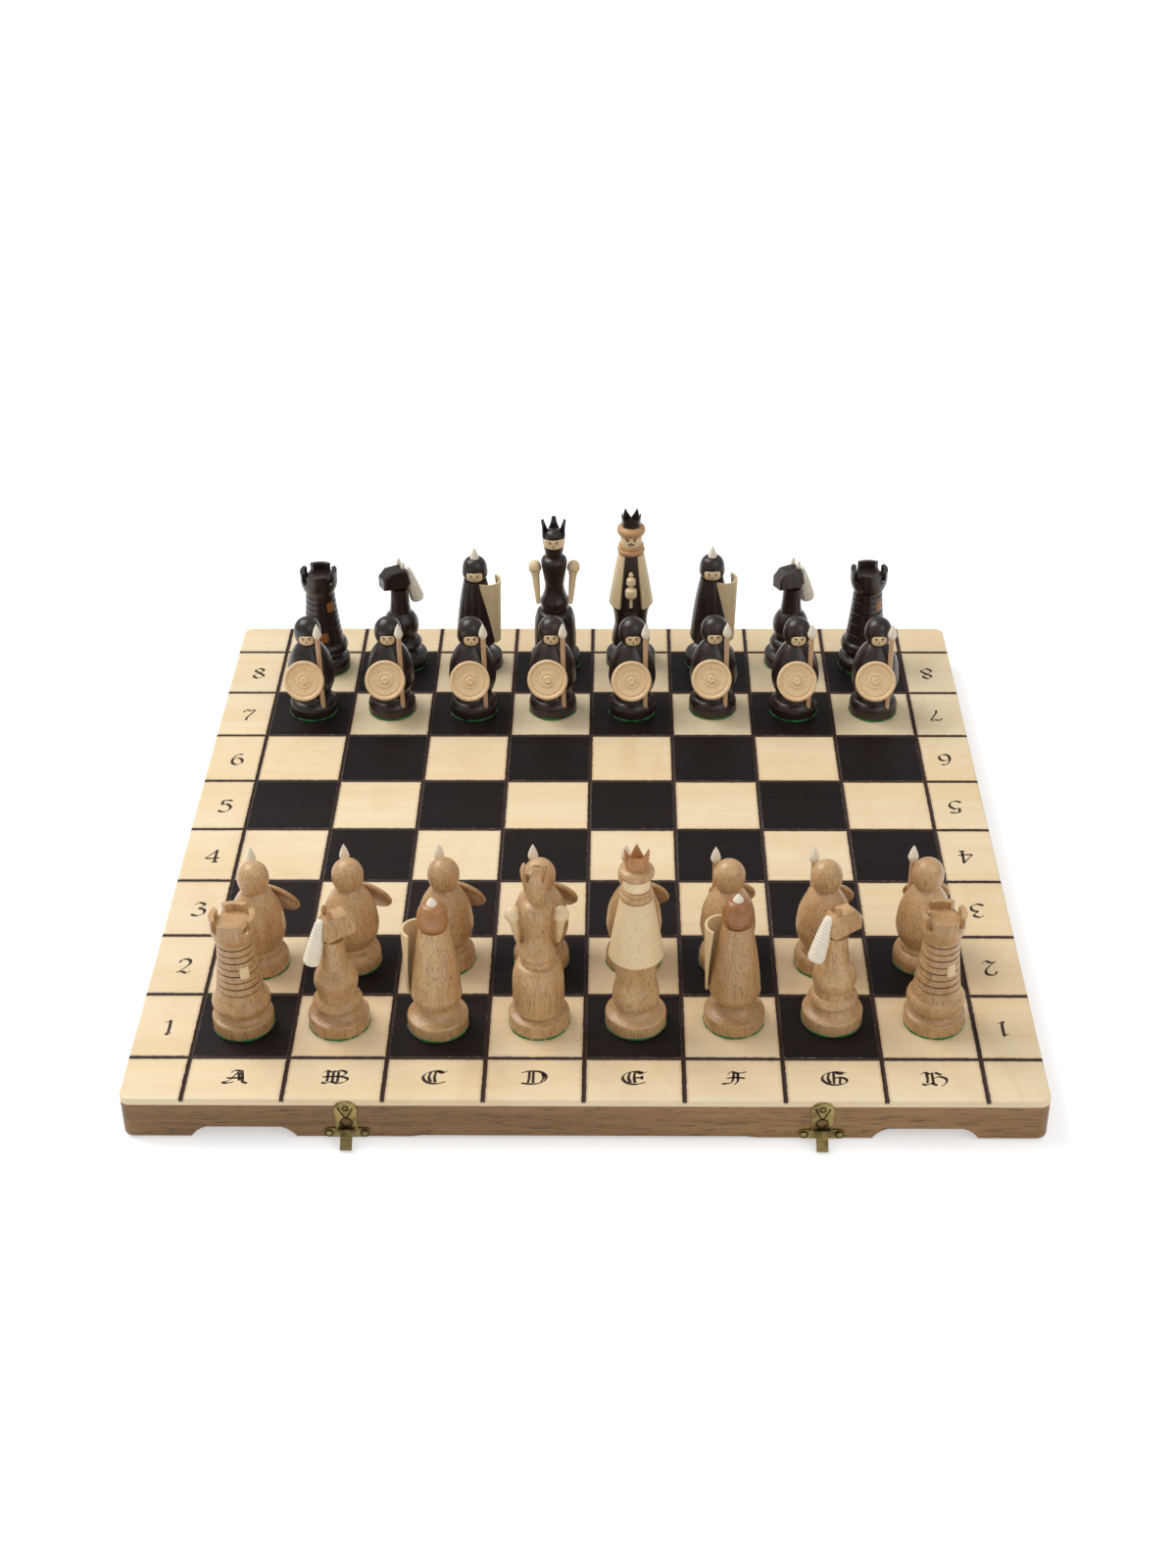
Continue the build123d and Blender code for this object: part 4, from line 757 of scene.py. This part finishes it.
def pawn(white, wood):
    """A foot soldier with a domed helmet, a turned round shield leaning in front and a spear at the left."""
    helmet_steps = [(9.0, 7.92, 0.6), (0, 9.38, "dome")]
    body = turned(PAWN_FOOT, FELT_TOP, [
        (PAWN_FOOT, 5.44, 0), (12.6, 5.06, 0.8), (11.2, 3.4, 0.5), (15.4, 17.5, 2.0), (6.0, 21.6, 2.2)])
    head = turned(6.0, 53.5, [(6.0, 0.3, 0), (7.3, 0.3, 0), *helmet_steps])

    shield = turned(12.2, -1.5, [(13.4, 1.0, 0.2), (13.4, 0.8, 0), (12.0, 1.0, 0.3), (10.4, -1.2, 0.1),
                                 (9.4, 0.4, 0.1), (5.4, -0.6, -0.1), (4.4, 0.4, 0.1), (3.1, -0.5, 0.1),
                                 (2.6, 0.7, 0.1), (1.5, 0.4, 0.1), (0.8, -0.3, 0), (0, 0.1, 0)])
    lean = 28.0
    shield_middle = (2.0, 18.7 + 1.5 * cos(radians(lean)), 34.7)

    shaft_radius, spear_place = 1.65, (-7.9, 11.2, 0)
    shaft = turned(shaft_radius, 6.2, [(shaft_radius, 56, 0)], sides=24)
    spear_head = turned(shaft_radius, 61.9, [(2.9, 3.4, 0.35), (0, 7.7, 0.35)], sides=28)
    pieces = [
        ("body", body, wood),
        ("head", head, wood),
        ("shield", placed(shield, shield_middle, turn("X", lean - 90)), beech if white else maple),
        ("spear_shaft", placed(shaft, spear_place), dowel),
        ("spear_head", placed(spear_head, spear_place), bleached),
    ]
    if not white:
        helmet = outline(7.3, 54.1, helmet_steps)
        panel = pillow_on(helmet, FRONT, 58.3, 5.2, 3.9, lift=0.2, power=3.0, depth=0.8)
        pieces.append(("face_panel", panel, skin))
        pieces.append(("face", face_marks(helmet, z=58.7, spread=2.0, scale=1.1, lift=0.42), scorch))
    return pieces


MAKERS = {"king": king, "queen": queen, "bishop": bishop, "knight": knight, "rook": rook, "pawn": pawn}
BACK_ROW = ("rook", "knight", "bishop", "queen", "king", "bishop", "knight", "rook")

# A row of men is (colour, row, kinds, places). A place is (degrees turned, shift in x, shift in y), with the
# shifts from the middle of the man's square.
ROWS = (
    ("white", 0, BACK_ROW, ((0, -1.5, 2.6), (0, -2.1, 3.6), (0, -0.9, 2.2), (0, 1.3, 4.5),
                            (0, 1.1, 4.8), (0, 1.9, 6.1), (0, 2.4, 7.5), (0, 5.0, 6.1))),
    ("white", 1, ("pawn",) * 8, ((-24, 1.6, 1.6), (-23, 0.7, 4.5), (-22, 0.8, 5.2), (-18, 1.0, 5.0),
                                 (-15, 0.3, 5.6), (-3, -0.2, 4.3), (-9, 0.3, 3.8), (-3, 3.5, 6.0))),
    ("black", 6, ("pawn",) * 8, ((180, 0.7, 6.0), (181, 0.1, 6.6), (184, 1.3, 5.9), (178, 0.9, 7.3),
                                 (184, 0.4, 5.9), (180, 0.9, 8.0), (185, 1.5, 5.8), (180, 1.1, 5.7))),
    ("black", 7, BACK_ROW, ((180, 2.7, 9.0), (180, 2.5, 14.2), (180, 1.2, 12.0), (180, 1.3, 14.0),
                            (180, -0.3, 15.0), (180, 1.0, 14.4), (180, 2.2, 15.0), (180, -0.2, 11.2))),
)
FELT_TURN = 50          # degrees from one felt disc to the next along a row
patterns = {}
for colour, row, kinds, places in ROWS:
    white = colour == "white"
    wood, wood_slot = (beech, "beech_men") if white else (ebony, "stained_men")
    for column, (kind, (spin, shift_x, shift_y)) in enumerate(zip(kinds, places)):
        if (kind, colour) not in patterns:
            patterns[kind, colour] = MAKERS[kind](white, wood)
        node = f"{colour}_{kind}_{FILES[column]}"
        spot = (square_middle(column) + shift_x, square_middle(row) + shift_y, TOP_Z)
        for part, shape, material in patterns[kind, colour]:
            shape = placed(shape, spot, turn("Z", spin))
            made = piece(f"{node}_{part}", shape, material, f"{node}_man")
            if part == "body":
                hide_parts(node)
        disc = felt_under(PAWN_FOOT if kind == "pawn" else OFFICER_FOOT)
        disc = placed(disc, spot, turn("Z", spin + column * FELT_TURN))
        piece(f"{node}_felt", disc, felt, f"{node}_man")


# Lettering round the board, and pressed marks on the latches
def pen_line(points, wide, thin, slant):
    """A broad pen's line as (centre, offset): a spline through the points, and half its width across it.

    The spline is Catmull-Rom: between two points it is the cubic whose slope at each is half the step
    between that point's neighbours. The pen is an ellipse with half axes wide and thin, the wide one at
    slant degrees, and half the width is the length of (wide * cos, thin * sin) of the angle between the
    line's normal and that axis.
    """
    knots = np.array(points, float)
    padded = np.concatenate([2 * knots[:1] - knots[1:2], knots, 2 * knots[-1:] - knots[-2:-1]])
    before, here, there, after = (padded[k:len(padded) - 3 + k][:, None] for k in range(4))
    t = np.linspace(0, 1, 9)[None, :, None]
    line = 0.5 * (2 * here + (there - before) * t + (2 * before - 5 * here + 4 * there - after) * t ** 2
                  + (3 * here - before - 3 * there + after) * t ** 3)
    line = np.concatenate([line[:, :-1].reshape(-1, 2), knots[-1:]])
    along = np.gradient(line, axis=0)
    along /= np.hypot(*along.T)[:, None]
    normal = np.stack([-along[:, 1], along[:, 0]], axis=-1)
    pen = np.array([cos(radians(slant)), sin(radians(slant))])
    half = np.hypot(wide * (normal @ pen), thin * (normal @ np.array([-pen[1], pen[0]])))
    return line, normal * half[:, None]


def pen_solid(points, wide, thin, slant, depth, height):
    """A pen line as a thin closed solid lying in the XY plane, from depth below it to height above it."""
    line, offset = pen_line(points, wide, thin, slant)
    edges = np.stack([line + offset, line - offset], axis=1)
    return shell(*(np.concatenate([edges, np.full((len(line), 2, 1), z)], axis=-1) for z in (height, -depth)))


# Each sign's strokes, as points in a square from (0, 0) at its lower left to (1, 1); a tail may hang below
LETTER_C = (((0.86, 0.9), (0.56, 1.0), (0.18, 0.82), (0.05, 0.46), (0.22, 0.12), (0.56, 0.0), (0.94, 0.16)),
            ((0.34, 0.9), (0.28, 0.5), (0.36, 0.14)), ((0.54, 0.94), (0.5, 0.5), (0.54, 0.1)),
            ((0.6, 0.98), (0.8, 0.84), (1.0, 0.98)))
LETTERS = {
    "a": (((0.3, 0.82), (0.42, 0.98), (0.66, 0.98)), ((0.62, 0.98), (0.44, 0.55), (0.26, 0.2), (0.0, 0.06)),
          ((0.7, 1.0), (0.78, 0.5), (0.82, 0.12), (1.0, 0.0)), ((0.6, 0.84), (0.64, 0.5), (0.68, 0.2)),
          ((0.16, 0.4), (0.8, 0.4)), ((0.0, 0.06), (0.2, 0.0), (0.46, 0.1))),
    "b": (((0.0, 0.84), (0.16, 0.98), (0.32, 0.9), (0.5, 1.0)), ((0.2, 0.92), (0.22, 0.5), (0.2, 0.14)),
          ((0.42, 0.94), (0.42, 0.5), (0.42, 0.1)), ((0.0, 0.08), (0.16, 0.02), (0.36, 0.12), (0.62, 0.0)),
          ((0.02, 0.5), (0.42, 0.54)), ((0.46, 0.9), (0.72, 1.0), (0.92, 0.84), (0.76, 0.58), (0.46, 0.54)),
          ((0.7, 0.56), (1.0, 0.38), (0.9, 0.12), (0.62, 0.0)), ((0.62, 0.92), (0.62, 0.1))),
    "c": LETTER_C,
    "d": (((0.0, 0.86), (0.3, 1.0), (0.74, 0.94), (0.97, 0.58), (0.84, 0.16), (0.48, 0.0), (0.0, 0.06)),
          ((0.3, 0.94), (0.3, 0.5), (0.26, 0.1)), ((0.46, 0.94), (0.46, 0.08)),
          ((0.82, 0.84), (0.86, 0.5), (0.76, 0.14))),
    "e": LETTER_C + (((0.5, 0.5), (0.84, 0.52)), ((0.82, 0.66), (0.8, 0.38))),
    "f": (((0.26, 0.8), (0.42, 0.98), (0.68, 0.88), (1.0, 1.0)),
          ((0.5, 0.9), (0.47, 0.5), (0.36, 0.14), (0.0, 0.04)), ((0.66, 0.9), (0.64, 0.3), (0.5, 0.0)),
          ((0.22, 0.48), (0.5, 0.55), (0.92, 0.5)), ((0.0, 0.04), (0.14, 0.16))),
    "g": (((0.9, 0.94), (0.52, 1.0), (0.14, 0.8), (0.04, 0.4), (0.26, 0.08), (0.6, 0.0), (0.92, 0.14),
           (0.98, 0.42), (0.76, 0.58), (0.5, 0.52)), ((0.32, 0.9), (0.26, 0.5), (0.34, 0.14)),
          ((0.5, 0.94), (0.48, 0.1)), ((0.74, 0.54), (0.7, 0.08)), ((0.56, 0.98), (0.78, 0.84), (1.0, 0.98))),
    "h": (((0.0, 0.84), (0.16, 0.98), (0.34, 0.88), (0.5, 1.0)), ((0.22, 0.92), (0.24, 0.5), (0.2, 0.14)),
          ((0.44, 0.94), (0.44, 0.1)), ((0.0, 0.08), (0.16, 0.02), (0.36, 0.12), (0.58, 0.0)),
          ((0.46, 0.52), (0.72, 0.66), (0.96, 0.5), (0.94, 0.2), (0.74, -0.08)),
          ((0.56, 0.98), (0.76, 0.84), (0.84, 0.9))),
}
DIGITS = (
    (((0.2, 0.8), (0.36, 0.86), (0.54, 1.0)), ((0.5, 0.94), (0.52, 0.5), (0.5, 0.08)),
     ((0.34, 0.06), (0.5, 0.02), (0.74, 0.12))),
    (((0.08, 0.74), (0.28, 0.98), (0.7, 0.96), (0.8, 0.7), (0.5, 0.36), (0.05, 0.03)),
     ((0.05, 0.05), (0.36, 0.12), (0.68, 0.02), (0.95, 0.16))),
    (((0.12, 0.84), (0.42, 1.0), (0.8, 0.86), (0.5, 0.58)),
     ((0.42, 0.58), (0.84, 0.46), (0.84, 0.16), (0.44, 0.0), (0.02, 0.1))),
    (((0.72, 1.0), (0.7, 0.5), (0.7, 0.02)), ((0.7, 0.96), (0.34, 0.6), (0.0, 0.3)),
     ((0.0, 0.3), (0.5, 0.3), (1.0, 0.36)), ((0.52, 0.0), (0.92, 0.03))),
    (((0.25, 0.96), (0.6, 1.0), (0.92, 0.96)), ((0.25, 0.96), (0.2, 0.6)),
     ((0.2, 0.6), (0.58, 0.66), (0.88, 0.4), (0.7, 0.08), (0.35, 0.0), (0.02, 0.1))),
    (((0.84, 0.95), (0.44, 0.9), (0.14, 0.5), (0.2, 0.12), (0.54, 0.0), (0.88, 0.2), (0.8, 0.5), (0.5, 0.58),
      (0.2, 0.42)),),
    (((0.05, 0.78), (0.2, 0.96), (0.6, 0.94), (0.94, 1.0)),
     ((0.92, 0.97), (0.62, 0.55), (0.42, 0.25), (0.36, 0.0))),
    (((0.52, 0.55), (0.16, 0.76), (0.45, 1.0), (0.8, 0.8), (0.52, 0.55), (0.1, 0.25), (0.45, 0.0),
      (0.88, 0.22), (0.52, 0.55)),),
)

# Letters stand along the near border, and digits along both sides, a little below the middle of their row
LETTER_SIZE, LETTER_PEN, LETTER_Y = (13.8, 10.4), 0.98, -231.7
DIGIT_SIZE, DIGIT_PEN, DIGIT_X, DIGIT_DROP = (8.8, 12.8), 1.1, 231.8, 1.62
PEN_THIN, PEN_SLANT = 0.22, 38
BURN_DEPTH, BURN_HEIGHT = 0.1, 0.04


def written(strokes, size, pen, x, y, half_turn=False):
    """One sign's strokes, size wide and high and centred at (x, y); pen is the wide half axis of its pen."""
    extent = -np.array(size) if half_turn else np.array(size)
    return [placed(pen_solid((x, y) + (np.array(stroke) - 0.5) * extent, pen, PEN_THIN, PEN_SLANT,
                             BURN_DEPTH, BURN_HEIGHT), (0, 0, TOP_Z))
            for stroke in strokes]


signs = {"near": [], "far": []}
for column, name in enumerate(FILES):
    signs["near"] += written(LETTERS[name], LETTER_SIZE, LETTER_PEN, square_middle(column), LETTER_Y)
for row, strokes in enumerate(DIGITS):
    half = "near" if row < 4 else "far"
    for x in (-DIGIT_X, DIGIT_X):
        signs[half] += written(strokes, DIGIT_SIZE, DIGIT_PEN, x, square_middle(row) - DIGIT_DROP, x > 0)
for half, lines in signs.items():
    piece(f"{half}_border_signs", joined(*lines), scorch, f"{half}_half")

# The marks are raised strips, partly sunk in the plates' faces, which stand 0.9 off the board
LATCH_X, LATCH_FACE = 128.0, -HALF_BOARD - 0.9
PRESS_WIDE, PRESS_DEPTH, PRESS_HEIGHT = 0.36, 0.3, 0.28


def round_line(x, y, radius, count):
    """A circle round (x, y) as count points, the last on the first."""
    angle = np.linspace(0, 2 * pi, count)
    return np.stack([x + radius * np.cos(angle), y + radius * np.sin(angle)], axis=-1)


for hand, x in (("left", -LATCH_X), ("right", LATCH_X)):
    ribs = [((x + side * 3.9, 22.0), (x + side * 2.2, 18.2), (x + side * 0.2, 14.6)) for side in (-1, 1)]
    eyes = [round_line(x + side * 9.7, 4.2, 2.2, 17) for side in (-1, 1)]
    marks = [*ribs, round_line(x, 21.6, 1.5, 13), round_line(x, 11.6, 3.2, 17), *eyes]
    pressed = joined(*(pen_solid(mark, PRESS_WIDE, PRESS_WIDE, 0, PRESS_DEPTH, PRESS_HEIGHT)
                       for mark in marks))
    pressed = placed(pressed, (0, LATCH_FACE, 0), turn("X", 90))
    piece(f"{hand}_latch_pressing", pressed, pressed_brass, "near_half")


# Floor, light and camera, in metres
FLOOR_REACH = 2.0
PAPER_GLOW = 0.46
SKY_LIGHT = 0.46


def plain_floor():
    """A white sheet under the board, clear from below, which keeps the board's shadow.

    Only camera, glossy and transmission rays see the paper glow, so it shows white, in reflections too, and
    casts no light.
    """
    low = cad_box[0][2]
    mesh = bpy.data.meshes.new("floor")
    corners = ((-1, -1), (1, -1), (1, 1), (-1, 1))
    mesh.from_pydata([(x * FLOOR_REACH, y * FLOOR_REACH, low) for x, y in corners], [], [(0, 1, 2, 3)])
    paper = Finish("paper", Base_Color=(0.9, 0.9, 0.9, 1), Roughness=0.9, Specular_IOR_Level=0.0,
                   Emission_Strength=1.0)
    path = paper.add("ShaderNodeLightPath", output="Is Camera Ray")
    seen = path.most(path.beside("Is Glossy Ray")).most(path.beside("Is Transmission Ray"))
    glow = paper.mix(seen, (0, 0, 0, 1), (PAPER_GLOW, PAPER_GLOW, PAPER_GLOW, 1))
    paper.feed(paper.shader, Emission_Color=glow)
    behind = paper.add("ShaderNodeNewGeometry", output="Backfacing")
    sheet = paper.add("ShaderNodeMixShader", None, {
        0: behind, 1: Wire(paper, paper.shader.outputs[0]), 2: paper.add("ShaderNodeBsdfTransparent")})
    paper.feed(paper.tree.nodes["Material Output"], Surface=sheet)
    mesh.materials.append(paper.material)
    floor = bpy.data.objects.new("floor", mesh)
    bpy.context.scene.collection.objects.link(floor)


def lamp(name, place, size, power):
    """A square soft lamp aimed at the middle of the board."""
    light = bpy.data.lights.new(name, "AREA")
    light.shape, light.size, light.energy = "SQUARE", size, power
    made = bpy.data.objects.new(name, light)
    made.location = place
    made.rotation_euler = (-Vector(place)).to_track_quat("-Z", "Y").to_euler()
    bpy.context.scene.collection.objects.link(made)


def world_light(strength):
    """An even white sky: it lights at a strength, and shows to the camera at 1, which is pure white."""
    world = bpy.data.worlds.new("studio")
    world.use_nodes = True
    sky = Nodes(world.node_tree)
    background = sky.tree.nodes["Background"]
    background.inputs["Color"].default_value = (1, 1, 1, 1)
    camera_ray = sky.add("ShaderNodeLightPath", output="Is Camera Ray")
    level = sky.add("ShaderNodeMapRange", None, {0: camera_ray, "To Min": strength, "To Max": 1.0})
    sky.feed(background, Strength=level)
    bpy.context.scene.world = world


def view_camera():
    """The camera where the photograph was taken from: down by the pitch, left by the yaw, then rolled."""
    pitch, yaw, roll = 0.597210, 0.0165384, -0.00806205
    forward = Vector((-sin(yaw) * cos(pitch), cos(yaw) * cos(pitch), -sin(pitch)))
    right = Vector((cos(yaw), sin(yaw), 0))
    up = right.cross(forward)
    across = right * cos(roll) + up * sin(roll)
    upward = up * cos(roll) - right * sin(roll)
    data = bpy.data.cameras.new("camera")
    data.sensor_fit, data.sensor_height, data.lens = "VERTICAL", 36.0, 51.5804
    data.clip_end = 50.0
    made = bpy.data.objects.new("camera", data)
    made.matrix_world = Matrix((across, upward, -forward)).transposed().to_4x4()
    made.location = (0.0185, -1.1470, 0.8417)
    bpy.context.scene.collection.objects.link(made)
    bpy.context.scene.camera = made


plain_floor()
world_light(SKY_LIGHT)
lamp("key", place=(-1.1, 0.5, 1.7), size=1.3, power=28.0)
lamp("fill", place=(1.2, -1.3, 1.5), size=1.6, power=9.0)
view_camera()
bpy.context.scene.view_settings.view_transform = "Standard"
